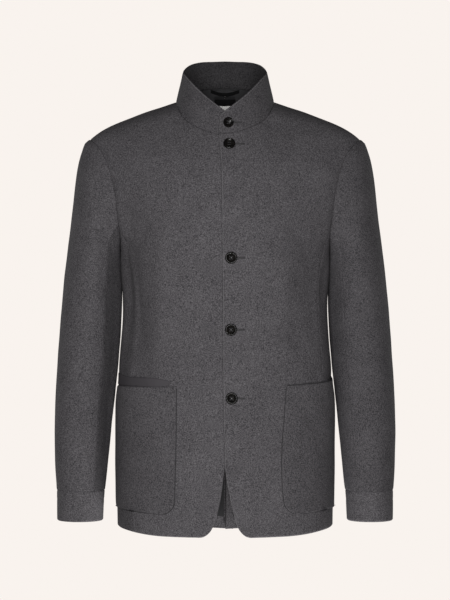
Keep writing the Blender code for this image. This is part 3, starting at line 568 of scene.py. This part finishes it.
def quads(index):
    """The faces between the points of a grid."""
    return np.stack([index[:-1, :-1], index[:-1, 1:], index[1:, 1:], index[1:, :-1]], axis=-1).reshape(-1, 4)


def bands(one, other):
    """The faces between two lines of points."""
    return np.stack([one[1:], one[:-1], other[:-1], other[1:]], axis=-1)


def cloth_wall(name, panel, outside, inside=None):
    """A closed thin wall from a panel's two faces, with a map in metres on which the weave lies."""
    outer, inner = panel.faces()
    rows, columns = outer.shape[:2]
    front = np.arange(rows * columns).reshape(rows, columns)
    back = front + rows * columns
    rims = [bands(front[0], back[0]), bands(front[-1, ::-1], back[-1, ::-1])]
    if not panel.ring:
        rims += [bands(front[:, -1], back[:, -1]), bands(front[::-1, 0], back[::-1, 0])]
    faces = np.concatenate([quads(front), quads(back)[:, ::-1], *rims])
    mesh = bpy.data.meshes.new(name)
    corners = np.concatenate([outer.reshape(-1, 3), inner.reshape(-1, 3)])
    mesh.from_pydata(corners.tolist(), [], faces.tolist())
    mesh.materials.append(outside)
    if inside:
        mesh.materials.append(inside)
        kind = (faces >= rows * columns).all(axis=1).astype(np.int32)
        mesh.polygons.foreach_set("material_index", kind)
    cloth_map = np.tile(panel.cloth_map.reshape(-1, 2), (2, 1)).astype(np.float32)
    mesh.uv_layers.new(name="cloth").data.foreach_set("uv", cloth_map[faces].ravel())
    shape = bmesh.new()
    shape.from_mesh(mesh)
    bmesh.ops.remove_doubles(shape, verts=shape.verts, dist=POINTS_JOIN)
    shape.to_mesh(mesh)
    shape.free()
    mesh.shade_smooth()
    return show(name, mesh)


def place_cloth(name, panel, outside, inside=None):
    """Makes a piece of cloth, sets it on the root, and hides the solid that it was made from."""
    piece = cloth_wall(name, panel, outside, inside)
    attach(piece, "root")
    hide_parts(panel.node)


FRONT_CREASES = [
    (-150, -345, 95, 12, -4, -1.6),
    (-128, -395, 70, 9, 3, -0.9),
    (-112, -330, 60, 11, 8, 0.8),
    (-148, -240, 42, 9, 24, -1.5),
    (-120, -205, 50, 10, 30, -0.9),
    (150, -330, 90, 12, 5, -1.3),
    (120, -385, 60, 10, -4, -0.8),
    (132, -236, 44, 9, -25, -1.2),
    (104, -198, 52, 11, -32, -0.8),
    (40, -262, 34, 5, 82, -0.5),
    (44, -372, 40, 6, 95, -0.55),
    (-34, -384, 44, 7, 84, -0.5),
    (38, -500, 40, 6, 76, -0.45),
    (-40, -268, 38, 6, 100, -0.4),
    (-62, -150, 60, 16, 14, -0.6),
    (70, -150, 64, 16, -16, -0.7),
    (-52, -620, 70, 12, 4, 0.8),
    (52, -610, 80, 13, -5, 0.7),
    (-99, -448, 13, 1.6, 0, -0.9),
    (9, -572, 42, 7, 0, -1.4),
    (138, -467, 42, 9, 80, -4.0),
    (-140, -452, 34, 9, 92, -3.2),
]
NECK_CREASES = [
    (4, -57, 15, 1.7, 82, 0.6),
    (9, -63, 17, 2.0, 80, -0.8),
    (16, -70, 16, 2.2, 76, 0.4),
]
SIDE_PRESS = {  # where the arms brush
    "left": [(0, -478, 20, 60, 0, -2.8)],
    "right": [(0, -470, 22, 60, 0, -1.6)],
}
HOLLOWS = [
    (-170, -325, 145, 36, -1, -11.0),
    (-150, -200, 50, 26, 10, -3.0),
    (130, -300, 140, 28, 2, -6.5),
    (164, -300, 90, 24, 4, -2.5),
]
ARMHOLE_FOOT = -0.240
ARMHOLE_ROW = 14  # the row of a front's or back's solid where its side seam meets the armhole
fronts = {}
for side in SIDES:
    open_edge, side_edge = SIDES if side == "left" else SIDES[::-1]
    front = Panel(f"front_{side}", BODY_STEP, corner_row=(ARMHOLE_ROW, side_edge))
    front.sewn("top", side_edge)
    front.turned("bottom", open_edge)
    front.stitched(open_edge, inset=2.2 * MM)
    front.crease(HOLLOWS + NECK_CREASES, "front", across_seams=True)
    front.crease(SIDE_PRESS[side], side, across_seams=True)
    front.held(side_edge, above=ARMHOLE_FOOT)
    front.crease(FRONT_CREASES, "front")
    front.slack(amount=0.5 * MM, size=45 * MM, seed=3.1)
    fronts[side] = front
    place_cloth(f"cloth_front_{side}", front, wool)


# Side panels under the arms. Each is one cut of the same wool, sewn to the front and the back and into the
# armhole, with the hem turned up.
SIDE_CREASES = [
    (-42, -300, 60, 10, 12, -0.9),
    (44, -355, 70, 12, -12, -1.2),
    (0, -440, 60, 16, 6, 1.0),
    (-34, -520, 80, 18, -4, -0.8),
    (34, -600, 90, 18, 5, 0.9),
]
SIDE_SWELL = [  # where the body stands out to the sleeve
    (-12, -296, 42, 16, 0, 2.6),
    (-12, -258, 13, 16, 0, 1.5),
]
# The right side panel gets a darker copy of the wool, as painted shade on the flank under the arm.
side_wool_with_shade = {"left": wool, "right": wool_finish("flannel_right_side_painted_shade", shade=0.80)}
for side in SIDES:
    panel = Panel(f"side_panel_{side}", BODY_STEP)
    panel.sewn("top", "left", "right")
    panel.turned("bottom")
    panel.crease(HOLLOWS, "front", across_seams=True)
    panel.crease(SIDE_SWELL + SIDE_PRESS[side], side, across_seams=True)
    panel.held("top")
    panel.crease(SIDE_CREASES, side)
    panel.slack(amount=0.5 * MM, size=45 * MM, seed=5.3)
    place_cloth(f"cloth_side_panel_{side}", panel, side_wool_with_shade[side], lining)


# The back: two halves sewn together down the middle to the top of the vent. Below that the right half laps
# over the left one, and both vent edges and the hem are turned. A satin lining hangs inside each half.
VENT_TOP = -0.520
VENT_FADE = 24 * MM  # the seam opens into the vent over this height
BACK_CREASES = [
    (-96, -150, 70, 13, -14, -1.2),
    (100, -160, 74, 13, 13, -1.3),
    (-128, -250, 60, 11, -24, 1.0),
    (126, -245, 56, 11, 22, 1.1),
    (-70, -345, 60, 14, 30, -0.9),
    (64, -352, 66, 13, -26, -1.0),
    (-16, -395, 44, 9, 70, -0.8),
    (30, -372, 48, 10, 104, -0.7),
    (-110, -430, 80, 14, 8, 0.9),
    (112, -440, 76, 14, -9, 0.8),
    (-60, -610, 90, 16, 3, 0.8),
    (58, -600, 96, 16, -4, 0.7),
    (0, -6, 40, 8, 90, -0.8),
]
LINING_WALL = 1.0 * MM
LINING_STEP = (9 * MM, 8 * MM)
backs = {}
for side in SIDES:
    side_edge, middle_edge = SIDES if side == "left" else SIDES[::-1]
    back = Panel(f"back_{side}", BODY_STEP, corner_row=(ARMHOLE_ROW, side_edge))
    above_vent = eased((back.points[..., 2] - VENT_TOP) / VENT_FADE)
    back.sewn("top", side_edge)
    back.sewn(middle_edge, share=above_vent)
    back.turned("bottom")
    back.turned(middle_edge, share=1 - above_vent)
    back.crease(BACK_CREASES, "back")
    back.slack(amount=0.5 * MM, size=50 * MM, seed=7.9)
    backs[side] = back
    place_cloth(f"cloth_back_{side}", back, wool)
    inner = Panel(f"back_lining_{side}", LINING_STEP, LINING_WALL)
    inner.turned("bottom", side_edge)
    inner.turned(middle_edge, share=eased((VENT_TOP - inner.points[..., 2]) / VENT_FADE))
    inner.sewn("top", depth=0, reach=0.6 * MM)
    inner.sewn(middle_edge, share=eased((inner.points[..., 2] - VENT_TOP) / VENT_FADE), depth=0.2 * MM)
    inner.slack(amount=0.25 * MM, size=30 * MM, seed=11.0)
    place_cloth(f"satin_back_lining_{side}", inner, lining)


# Two-piece sleeves, set into the armholes with a little fullness over the shoulder, and lined. The wider top
# sleeve meets the under sleeve in a seam at the front and one at the back, and breaks softly at the elbow.
TOP_SLEEVE_CREASES = {
    "front": [
        (-1, -130, 60, 12, 6, -0.9),
        (0, -235, 70, 10, 4, 0.8),
        (-26, -300, 34, 9, 62, -1.5),
        (-18, -360, 40, 8, 72, -1.4),
        (8, -392, 36, 8, 100, -1.2),
        (-14, -428, 42, 9, 66, -1.3),
        (10, -470, 34, 9, 108, -0.9),
        (-8, -520, 40, 10, 74, -0.8),
        (12, -575, 36, 9, 100, -0.6),
        (0, -618, 40, 8, 84, -0.7),
    ],
    "back": [
        (14, -180, 60, 13, -8, -1.0),
        (20, -320, 40, 10, 70, 1.1),
        (6, -372, 44, 10, 84, -1.4),
        (18, -408, 36, 9, 100, 1.0),
        (0, -446, 40, 10, 76, -1.2),
        (10, -560, 50, 12, 92, -0.7),
    ],
}
TOP_SLEEVE_CUT = ((0.318, 0.605), 0.1154)
UNDER_SLEEVE_CUT = ((0.196, 0.521), 0.0602)
SLEEVE_HOLLOWS = {
    "right": [(-188, -300, 170, 24, -2, -9.0), (-196, -520, 120, 22, -2, -5.0)],
    "left": [(186, -300, 150, 20, 2, -5.0)],
}
SLEEVE_LIFT = {"left": 0, "right": 9}  # the right sleeve's creases lie this much higher
SLEEVE_HEAD = 1.5 * MM  # how far the sleeve head stands up beside its seam
HEAD_MIDDLE = 11  # how far from the seam its ridge lies
HEAD_HALF_WIDTH = 8
HEAD_FOOT = -0.175  # the height at which it begins
HEAD_FADE = 0.075
# Each sleeve half gets a darker copy of the wool, as painted shade: the left sleeve is darker all over, and
# the right under sleeve is darkest, for the shade between arm and body.
SLEEVE_PAINTED_SHADE = {
    ("top", "left"): 0.84,
    ("under", "left"): 0.84,
    ("top", "right"): 0.95,
    ("under", "right"): 0.66,
}
sleeve_wool_painted_shade = {}
for (half, side), shade in SLEEVE_PAINTED_SHADE.items():
    sleeve_wool_painted_shade[half, side] = wool_finish(f"flannel_sleeve_{half}_{side}", shade)
SLEEVE_LINE = [(-60, 229), (-118, 222), (-206, 222), (-313, 227), (-430, 233), (-545, 240), (-652, 243)]
sleeve_middle = np.array(SLEEVE_LINE[::-1], float).T
for side in SIDES:
    out = 1 if side == "left" else -1
    for half, cut in (("top", TOP_SLEEVE_CUT), ("under", UNDER_SLEEVE_CUT)):
        sleeve = Panel(f"sleeve_{half}_{side}", BODY_STEP)
        sleeve.sewn("left", "right", "bottom")
        sleeve.sewn("top", reach=0.45 * MM)
        for view, rows in TOP_SLEEVE_CREASES.items():
            placed = []
            for across, up, half_length, half_width, lean, depth in rows:
                across += np.interp(up, *sleeve_middle)
                up += SLEEVE_LIFT[side]
                placed.append((out * across, up, half_length, half_width, out * lean, depth))
            sleeve.crease(placed, view)
        sleeve.crease(SLEEVE_HOLLOWS[side], "front", across_seams=True)
        sleeve.held("top")
        over_shoulder = eased((sleeve.points[..., 2] - HEAD_FOOT) / HEAD_FADE)
        from_head = (sleeve.from_edge["top"] / MM - HEAD_MIDDLE) / HEAD_HALF_WIDTH
        sleeve.rise += SLEEVE_HEAD * over_shoulder * np.exp(-(from_head**2))
        sleeve.slack(amount=0.5 * MM, size=40 * MM, seed=13.7 + out)
        place_cloth(f"cloth_sleeve_{half}_{side}", sleeve, sleeve_wool_painted_shade[half, side], lining)


# Cuff bands: a straight strip of the wool sewn round the end of each sleeve and turned in at the wrist.
CUFF_FOLD = 16.5 * MM  # a pressed line this far below the seam
for side in SIDES:
    cuff = Panel(f"cuff_{side}", step=(4 * MM, 3 * MM), ring=True)
    cuff.sewn("top", depth=0.8 * MM)
    cuff.turned("bottom")
    cuff.stitched("top", inset=CUFF_FOLD, depth=0.45 * MM)
    cuff.slack(amount=0.35 * MM, size=30 * MM, seed=17.0)
    place_cloth(f"cloth_cuff_{side}", cuff, wool, lining)


# The stand collar: a shaped band of stiffened wool on the neck seam, its left end lapped over the right one.
# The same wool, made much darker, faces it inside.
DARK_FACING_WALL = 1.0 * MM
dark_facing_wool = wool_finish("collar_facing_dark_wool", shade=0.29)
# The collar's wool is a little darker, as painted shade.
collar_wool_painted_shade = wool_finish("collar_flannel_painted_shade", shade=0.82)
collar = Panel("collar", step=(4 * MM, 4 * MM))
collar.sewn("bottom")
collar.turned("top", "left", "right")
collar.stitched("top", "left", inset=2.2 * MM)
collar.slack(amount=0.4 * MM, size=35 * MM, seed=19.0)
place_cloth("cloth_collar", collar, collar_wool_painted_shade)
facing = Panel("collar_facing", step=(5 * MM, 5 * MM), wall=DARK_FACING_WALL)
facing.turned("top", "left", "right")
facing.sewn("bottom", depth=0, reach=0.5 * MM)
facing.slack(amount=0.3 * MM, size=35 * MM, seed=23.0)
place_cloth("dark_wool_collar_facing", facing, dark_facing_wool)


# Patch pockets: the same wool, turned in all round and sewn on near its edge, with rounded lower corners and
# an open mouth. The right mouth gapes and shows a strip of plain facing cloth behind it.
POCKET_CREASES = [
    (-140, -520, 60, 14, 20, -0.7),
    (-118, -600, 70, 16, -8, 0.6),
    (-150, -640, 40, 10, 60, -0.5),
    (138, -520, 60, 14, -22, -0.7),
    (120, -610, 70, 16, 7, 0.6),
    (150, -560, 50, 12, -50, -0.5),
]
MOUTH_PRESS = {  # where the mouth's outer end lies closer
    "left": [(-25, -467, 17, 32, 0, -1.9)],
    "right": [(-22, -477, 15, 30, 0, -1.2)],
}
POCKET_FACING_WALL = 1.0 * MM
# The pockets' wool is a little darker, as painted shade.
pocket_wool_painted_shade = wool_finish("pocket_flannel_painted_shade", shade=0.88)
pockets = {}
for side in SIDES:
    pocket = Panel(f"pocket_{side}", step=(5 * MM, 4.5 * MM))
    pocket.turned("top", "bottom", "left", "right", roll=1.5)
    pocket.stitched("left", "right", "bottom", inset=2.0 * MM, depth=0.6 * MM)
    pocket.crease(HOLLOWS, "front", across_seams=True)
    pocket.crease(SIDE_PRESS[side] + MOUTH_PRESS[side], side, across_seams=True)
    pocket.crease(POCKET_CREASES, "front")
    pocket.slack(amount=0.4 * MM, size=40 * MM, seed=29.0)
    pockets[side] = pocket
    place_cloth(f"cloth_pocket_{side}", pocket, pocket_wool_painted_shade)

plain = satin_finish("plain_facing", (0.052, 0.048, 0.053), (0.080, 0.074, 0.081), roughness=0.70)
strip = Panel("pocket_facing_right", step=(3 * MM, 4 * MM), wall=POCKET_FACING_WALL)
strip.crease(HOLLOWS, "front", across_seams=True)
strip.crease(SIDE_PRESS["right"], "right", across_seams=True)
strip.turned("top", "bottom", "left", "right")
place_cloth("plain_pocket_facing", strip, plain)


# Things inside the back neck: a folded black tape sewn at both ends to hang the jacket by, and a plain woven
# label with a pale size tab tucked under it, both left blank. The tape is too narrow to be said as a sheet.
TAPE_WALL = 0.9 * MM
TAPE_THREAD = 0.5 * MM
TAB_THREAD = 0.4 * MM
WEAVE_RELIEF = 0.15 * MM
RIB_SCALE = 0.31  # the wave texture's scale for ribs about one metre apart
LABEL_CUT = ((0.036, 0.013), None)
TAB_CUT = ((0.028, 0.024), None)


def woven_finish(name, dark, pale, thread):
    """A narrow woven tape or label: crossing threads about thread metres wide."""
    finish, shader, tone = new_finish(name, {"Specular IOR Level": 0.08})
    woven = tone.add("ShaderNodeTexCoord", {}, "UV")
    warp, weft = (ribs(tone, woven, way, RIB_SCALE / thread, distortion=0.4) for way in "XY")
    weave = warp * weft
    colour_between(tone, weave, dark, pale).feed(shader, "Base Color")
    (weave * 0.10 + 0.78).feed(shader, "Roughness")
    emboss(shader, weave, strength=0.4, depth=WEAVE_RELIEF)
    return finish


tape = woven_finish("black_tape", (0.002, 0.002, 0.002), (0.007, 0.007, 0.008), TAPE_THREAD)
tab_weave = woven_finish("pale_tab", (0.82, 0.81, 0.79), (0.95, 0.94, 0.92), TAB_THREAD)
loop = Panel("hanger_loop", step=(1.2 * MM, 2 * MM), wall=TAPE_WALL)
loop.turned("top", "bottom")
loop.stitched("top", "bottom", inset=1.1 * MM, depth=0.15 * MM)
place_cloth("tape_hanger_loop", loop, tape)
for node, finish, slot, cut in (
    ("neck_label", tape, "black_tape", LABEL_CUT),
    ("label_tab", tab_weave, "pale_tab", TAB_CUT),
):
    label = Panel(node, step=(1.5 * MM, 1.5 * MM), wall=TAPE_WALL)
    label.turned("top", "bottom", "left", "right")
    label.stitched("top", "bottom", "left", "right", inset=1.2 * MM, depth=0.12 * MM)
    place_cloth(f"woven_{node}", label, finish)


# Five horn buttons, each turned with a raised rim and a dished middle, drilled with four holes and sewn on
# with dark thread in two bars. The one on the collar is smaller.
HORN_BACK = [(0.0, 0.10), (0.55, 0.10), (0.84, 0.16), (0.96, 0.28), (1.0, 0.44)]  # shares of radius and depth
HORN_RIM = [(0.985, 0.62), (0.945, 0.79), (0.89, 0.92), (0.82, 1.0), (0.77, 0.975), (0.73, 0.88)]
HORN_DISH = [(0.68, 0.75), (0.58, 0.65), (0.42, 0.55), (0.26, 0.45), (0.12, 0.36), (0.0, 0.31)]
HORN_SIDES = 56
HOLE_RADIUS = 0.95 * MM
HOLE_OFFSET = 2.0 * MM
HOLE_SIDES = 14
THREAD_RADIUS = 0.42 * MM
THREAD_LEVEL = 0.38  # the thread leaves its holes at this share of the button's depth
THREAD_BOW = 0.7 * MM
BAR_RINGS = 7
BAR_SIDES = 8
SHARP_EDGE = math.radians(42)
HORN_STREAK = 2.2 * MM
TWIST = 0.3 * MM


def horn_finish(name):
    """Polished dark horn with faint paler streaks."""
    finish, shader, tone = new_finish(name, {"Specular IOR Level": 0.25})
    place = tone.add("ShaderNodeTexCoord", {}, "Object")
    grown = {"Vector": place, "Scale": (1.0, 1.0, 0.25), "Rotation": (0, 0.6, 0)}
    streaks = fleck(tone, tone.add("ShaderNodeMapping", grown), HORN_STREAK, detail=3.0)
    share = tone.add("ShaderNodeMapRange", {"Value": streaks, "From Min": 0.45, "From Max": 0.80})
    colour_between(tone, share, (0.0045, 0.0042, 0.0041), (0.020, 0.0165, 0.0145)).feed(shader, "Base Color")
    (streaks * 0.1 + 0.12).feed(shader, "Roughness")
    return finish


def thread_finish(name, colour):
    """Twisted sewing thread."""
    finish, shader, tone = new_finish(name, {})
    place = tone.add("ShaderNodeTexCoord", {}, "Object")
    twist = fleck(tone, place, TWIST, detail=1.0, roughness=0.5)
    darker = tuple(0.6 * part for part in colour)
    colour_between(tone, twist, darker, colour).feed(shader, "Base Color")
    (twist * 0.2 + 0.55).feed(shader, "Roughness")
    return finish


def circle(count):
    """Points round a circle of radius 1."""
    angles = [2 * math.pi * k / count for k in range(count)]
    return [(math.cos(angle), math.sin(angle)) for angle in angles]


def skin(shape, rings):
    """Faces from each ring of points to the next. A ring may be one point repeated."""
    for low, high in zip(rings[:-1], rings[1:]):
        for k in range(len(low)):
            after = (k + 1) % len(low)
            shape.faces.new(dict.fromkeys((low[k], low[after], high[after], high[k])))


def outline_turned(outline, radius, height, sides):
    """A closed turned shape about +Z from its outline of radius and height shares."""
    shape = bmesh.new()
    rings = []
    for share, level in outline:
        if share == 0:
            rings.append([shape.verts.new((0, 0, level * height))] * sides)
        else:
            wide = share * radius
            ring = [(wide * x, wide * y, level * height) for x, y in circle(sides)]
            rings.append([shape.verts.new(corner) for corner in ring])
    skin(shape, rings)
    return shape


def drilled(shape, middles, radius, height):
    """The shape as a mesh with round holes right through it."""
    body = show("turned", bpy.data.meshes.new("turned"))
    shape.to_mesh(body.data)
    shape.free()
    drill = show("drill", bpy.data.meshes.new("drill"))
    bits = bmesh.new()
    size = {"segments": HOLE_SIDES, "radius1": radius, "radius2": radius, "depth": 4 * height}
    for x, y in middles:
        bit = bmesh.ops.create_cone(bits, cap_ends=True, **size)
        bmesh.ops.translate(bits, verts=bit["verts"], vec=(x, y, 0))
    bits.to_mesh(drill.data)
    bits.free()
    cut = body.modifiers.new("holes", "BOOLEAN")
    cut.operation = "DIFFERENCE"
    cut.solver = "EXACT"
    cut.object = drill
    result = bpy.data.meshes.new_from_object(body.evaluated_get(bpy.context.evaluated_depsgraph_get()))
    bpy.data.objects.remove(body)
    bpy.data.objects.remove(drill)
    return result


def bar(shape, start, end, radius, lift):
    """A short bowed bar of thread between two points."""
    rings = []
    along = (end - start).normalized()
    across = along.orthogonal().normalized()
    other = along.cross(across)
    for k in range(BAR_RINGS):
        share = k / (BAR_RINGS - 1)
        middle = start.lerp(end, share) + Vector((0, 0, lift * math.sin(math.pi * share)))
        ring = [middle + radius * (across * x + other * y) for x, y in circle(BAR_SIDES)]
        rings.append([shape.verts.new(corner) for corner in ring])
    skin(shape, rings)
    shape.faces.new(rings[0][::-1])
    shape.faces.new(rings[-1])


def button_place(node):
    """Where a button's solid sits: the middle of its back, its three directions, its radius and its depth.

    The directions are right, up and outward.
    """
    solid = np.array([corner.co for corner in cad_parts[node].data.vertices])
    middle = solid.mean(axis=0)
    out = np.linalg.svd(solid - middle, full_matrices=False)[2][2]
    out = out if out[1] < 0 else -out
    right = np.cross((0, 0, 1), out)
    right /= norm(right)
    up = np.cross(out, right)
    level = (solid - middle) @ out
    flat = np.hypot((solid - middle) @ right, (solid - middle) @ up)
    back = middle + out * level.min()
    return back, np.stack([right, up, out], axis=1), flat.max(), level.max() - level.min()


horn = horn_finish("dark_horn")
button_thread = thread_finish("button_thread", (0.030, 0.029, 0.031))
button_backs = {}
for number in range(1, 6):
    back, axes, radius, depth = button_place(f"button_{number}")
    button_backs[number] = back
    holes = [(x * HOLE_OFFSET, y * HOLE_OFFSET) for x in (-1, 1) for y in (-1, 1)]
    turned = outline_turned(HORN_BACK + HORN_RIM + HORN_DISH, radius, depth, HORN_SIDES)
    mesh = drilled(turned, holes, HOLE_RADIUS, depth)
    mesh.materials.clear()
    mesh.materials.append(horn)
    mesh.materials.append(button_thread)
    shape = bmesh.new()
    shape.from_mesh(mesh)
    drilled_faces = len(shape.faces)
    for y in (-1, 1):
        low, high = (Vector((x * HOLE_OFFSET, y * HOLE_OFFSET, THREAD_LEVEL * depth)) for x in (-1, 1))
        bar(shape, low, high, THREAD_RADIUS, THREAD_BOW)
    shape.faces.ensure_lookup_table()
    for face in shape.faces[drilled_faces:]:
        face.material_index = 1
    bmesh.ops.recalc_face_normals(shape, faces=shape.faces)
    for vertex in shape.verts:
        vertex.co = Vector(back + axes @ np.array(vertex.co))
    shape.to_mesh(mesh)
    shape.free()
    mesh.shade_smooth()
    mesh.set_sharp_from_angle(angle=SHARP_EDGE)
    button = show(f"horn_button_{number}", mesh)
    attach(button, "root")
    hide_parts(f"button_{number}")


# Stitching: fine edge stitches along the left front and the collar, in a thread paler than the cloth that
# also paints the highlight on those edges; near-black stitches set almost end to end round the pockets,
# across the left pocket's mouth and down the inside of the vent's edge, which also paint the shadow lines
# along those edges; and buttonholes purled in dark silk on the left front and the collar.
STITCH_SIZES = ("Pitch", "Length", "Width", "Height")
EDGE_STITCH = (2.3 * MM, 2.1 * MM, 0.85 * MM, 0.5 * MM)
EDGE_INSET = 1.7 * MM
EDGE_LIFT = 0.05 * MM
# near-black stitches set almost end to end, so that they read as painted shadow lines beside the pockets and
# the vent
SHADOW_LINE_STITCH = (2.2 * MM, 2.4 * MM, 1.6 * MM, 0.7 * MM)
POCKET_INSET = 0.9 * MM
POCKET_LIFT = {"left": 0.2 * MM, "right": 0.2 * MM, "top": 0.2 * MM, "bottom": 0.02 * MM}
POCKET_SEWN = {"left": ("left", "bottom", "right", "top"), "right": ("left", "bottom", "right")}
VENT_LIFT = 0.1 * MM
LINE_TRIM = 4 * MM  # a line of stitches ends this far from the corners


def stitch_rows():
    """A node tree that lays stitches along a line, each along its thread and square to the cloth."""
    tree = bpy.data.node_groups.new("stitch_row", "GeometryNodeTree")
    sockets = tree.interface
    sockets.new_socket("Geometry", in_out="INPUT", socket_type="NodeSocketGeometry")
    inputs = {}
    for name in STITCH_SIZES:
        inputs[name] = sockets.new_socket(name, in_out="INPUT", socket_type="NodeSocketFloat").identifier
    thread = sockets.new_socket("Thread", in_out="INPUT", socket_type="NodeSocketMaterial")
    inputs["Thread"] = thread.identifier
    sockets.new_socket("Geometry", in_out="OUTPUT", socket_type="NodeSocketGeometry")

    tone = Tone(tree)
    given = {socket.name: Tone(tree, socket) for socket in tree.nodes.new("NodeGroupInput").outputs}
    line = tone.add("GeometryNodeMeshToCurve", {"Mesh": given["Geometry"]})
    spaced = tone.add("GeometryNodeResampleCurve", {"Curve": line, "Length": given["Pitch"]}, mode="LENGTH")
    along, outward = (
        tone.add("GeometryNodeInputNamedAttribute", {"Name": name}, "Attribute", data_type="FLOAT_VECTOR")
        for name in ("thread", "out")
    )
    turn = tone.add("FunctionNodeAlignRotationToVector", {"Vector": along}, axis="X")
    square = {"Rotation": turn, "Vector": outward}
    tilt = tone.add("FunctionNodeAlignRotationToVector", square, axis="Z", pivot_axis="X")
    bead = tone.add("GeometryNodeMeshUVSphere", {"Segments": 6, "Rings": 4, "Radius": 0.5})
    smooth = tone.add("GeometryNodeSetShadeSmooth", {"Geometry": bead})
    sizes = {axis: given[name] for axis, name in zip("XYZ", STITCH_SIZES[1:])}
    size = tone.add("ShaderNodeCombineXYZ", sizes)
    stitch = tone.add("GeometryNodeTransform", {"Geometry": smooth, "Scale": size})
    laid = tone.add("GeometryNodeInstanceOnPoints", {"Points": spaced, "Instance": stitch, "Rotation": tilt})
    real = tone.add("GeometryNodeRealizeInstances", {"Geometry": laid})
    coloured = tone.add("GeometryNodeSetMaterial", {"Geometry": real, "Material": given["Thread"]})
    coloured.feed(tree.nodes.new("NodeGroupOutput"), "Geometry")
    return tree, inputs


stitch_tree, stitch_inputs = stitch_rows()


def sew_along(name, lines, sizes, thread):
    """One piece of stitches on several lines, each given as points, thread and outward directions."""
    corners = np.concatenate([line[0] for line in lines])
    starts = np.cumsum([0] + [len(line[0]) for line in lines])
    joins = [(k, k + 1) for low, high in zip(starts[:-1], starts[1:]) for k in range(low, high - 1)]
    mesh = bpy.data.meshes.new(name)
    mesh.from_pydata(corners.tolist(), joins, [])
    for key, part in (("thread", 1), ("out", 2)):
        values = np.concatenate([np.broadcast_to(line[part], line[0].shape) for line in lines])
        directions = mesh.attributes.new(key, "FLOAT_VECTOR", "POINT").data
        directions.foreach_set("vector", values.astype(np.float32).ravel())
    piece = show(name, mesh)
    stitches = piece.modifiers.new("stitches", "NODES")
    stitches.node_group = stitch_tree
    for key, value in zip(STITCH_SIZES, sizes):
        stitches[stitch_inputs[key]] = float(value)
    stitches[stitch_inputs["Thread"]] = thread
    made = bpy.data.meshes.new_from_object(piece.evaluated_get(bpy.context.evaluated_depsgraph_get()))
    piece.modifiers.clear()
    piece.data = made
    made.name = name
    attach(piece, "root")


def edge_line(panel, edge, inset, lift, within=False):
    """A line a little inside one edge of a panel's outer or inner face. The thread runs along it."""
    face = panel.faces()[1 if within else 0]
    away = panel.from_edge[edge]
    out = -panel.out if within else panel.out
    if edge in ("top", "bottom"):
        face, away, out = face.swapaxes(0, 1), away.T, out.swapaxes(0, 1)
    if edge in ("right", "top"):
        face, away, out = face[:, ::-1], away[:, ::-1], out[:, ::-1]
    points, faced = (
        np.array([[np.interp(inset, far, line[:, k]) for k in range(3)] for far, line in zip(away, lines)])
        for lines in (face, out)
    )
    reach = np.concatenate([[0], np.cumsum(norm(np.diff(points, axis=0), axis=1))])
    kept = (reach > LINE_TRIM) & (reach < reach[-1] - LINE_TRIM)
    points = points[kept] + lift * faced[kept]
    thread = np.gradient(points, axis=0)
    return points, thread / norm(thread, axis=1, keepdims=True), faced[kept]


# A pale thread for the edge stitches, which also paints the highlight on the front and collar edges.
pale_thread_and_highlight = thread_finish("pale_thread_and_highlight", (0.250, 0.240, 0.250))
silk = thread_finish("buttonhole_silk", (0.048, 0.046, 0.049))
# A near-black thread for the pocket and vent stitches, which also paints the shadow lines along those edges.
dark_thread_and_shadow = thread_finish("dark_thread_and_shadow", (0.016, 0.015, 0.017))
front_line = edge_line(fronts["left"], "left", EDGE_INSET, EDGE_LIFT)
sew_along("stitches_front_edge", [front_line], EDGE_STITCH, pale_thread_and_highlight)
collar_lines = [edge_line(collar, edge, EDGE_INSET, EDGE_LIFT) for edge in ("top", "left")]
sew_along("stitches_collar", collar_lines, EDGE_STITCH, pale_thread_and_highlight)
for side in SIDES:
    lifts = [(edge, POCKET_LIFT[edge]) for edge in POCKET_SEWN[side]]
    pocket_lines = [edge_line(pockets[side], edge, POCKET_INSET, lift) for edge, lift in lifts]
    sew_along(f"shadow_line_stitches_pocket_{side}", pocket_lines, SHADOW_LINE_STITCH, dark_thread_and_shadow)
# Near-black stitches inside the left back's vent edge, below the top of the vent, paint the vent's shadow
# line.
vent_line = edge_line(backs["left"], "right", POCKET_INSET, VENT_LIFT, within=True)
below_vent = vent_line[0][:, 2] < VENT_TOP
sew_along("shadow_line_stitches_vent", [[part[below_vent] for part in vent_line]], SHADOW_LINE_STITCH, dark_thread_and_shadow)

PURL = (0.55 * MM, 1.9 * MM, 0.62 * MM, 0.55 * MM)
PURL_LIFT = 0.1 * MM
PURL_STEP = 0.5 * MM
HOLE_START = 2 * MM  # a buttonhole begins this far before the button's middle
HOLE_END = 32.0 * MM  # how far from the centre a buttonhole ends
COLLAR_HOLE_SHORTER = 5 * MM
HOLE_HALF = 0.95 * MM
END_PURLS = 5
END_SHIFT = np.array([0.8 * MM, 0, 0])
for number, back in button_backs.items():
    outer = (collar if number == 1 else fronts["left"]).faces()[0]
    index = np.arange(outer[..., 0].size).reshape(outer.shape[:2])
    cloth = BVHTree.FromPolygons(outer.reshape(-1, 3).tolist(), quads(index).tolist())
    hole_end = HOLE_END - (COLLAR_HOLE_SHORTER if number == 1 else 0)
    reach = np.arange(back[0] - HOLE_START, hole_end, PURL_STEP)
    purls = []
    for height in (back[2] + HOLE_HALF, back[2] - HOLE_HALF):
        hits = [cloth.ray_cast(Vector((x, -1, height)), Vector((0, 1, 0))) for x in reach]
        points = np.array([hit[0] for hit in hits])
        faced = np.array([hit[1] for hit in hits])
        purls.append((points + PURL_LIFT * faced, np.array([0.0, 0.0, 1.0]), faced))
    low, high = purls[1][0][-1], purls[0][0][-1]
    end = np.linspace(low, high, END_PURLS) + END_SHIFT
    purls.append((end, np.array([1.0, 0.0, 0.0]), np.broadcast_to(purls[0][2][-1], end.shape)))
    sew_along(f"buttonhole_{number}", purls, PURL, silk)
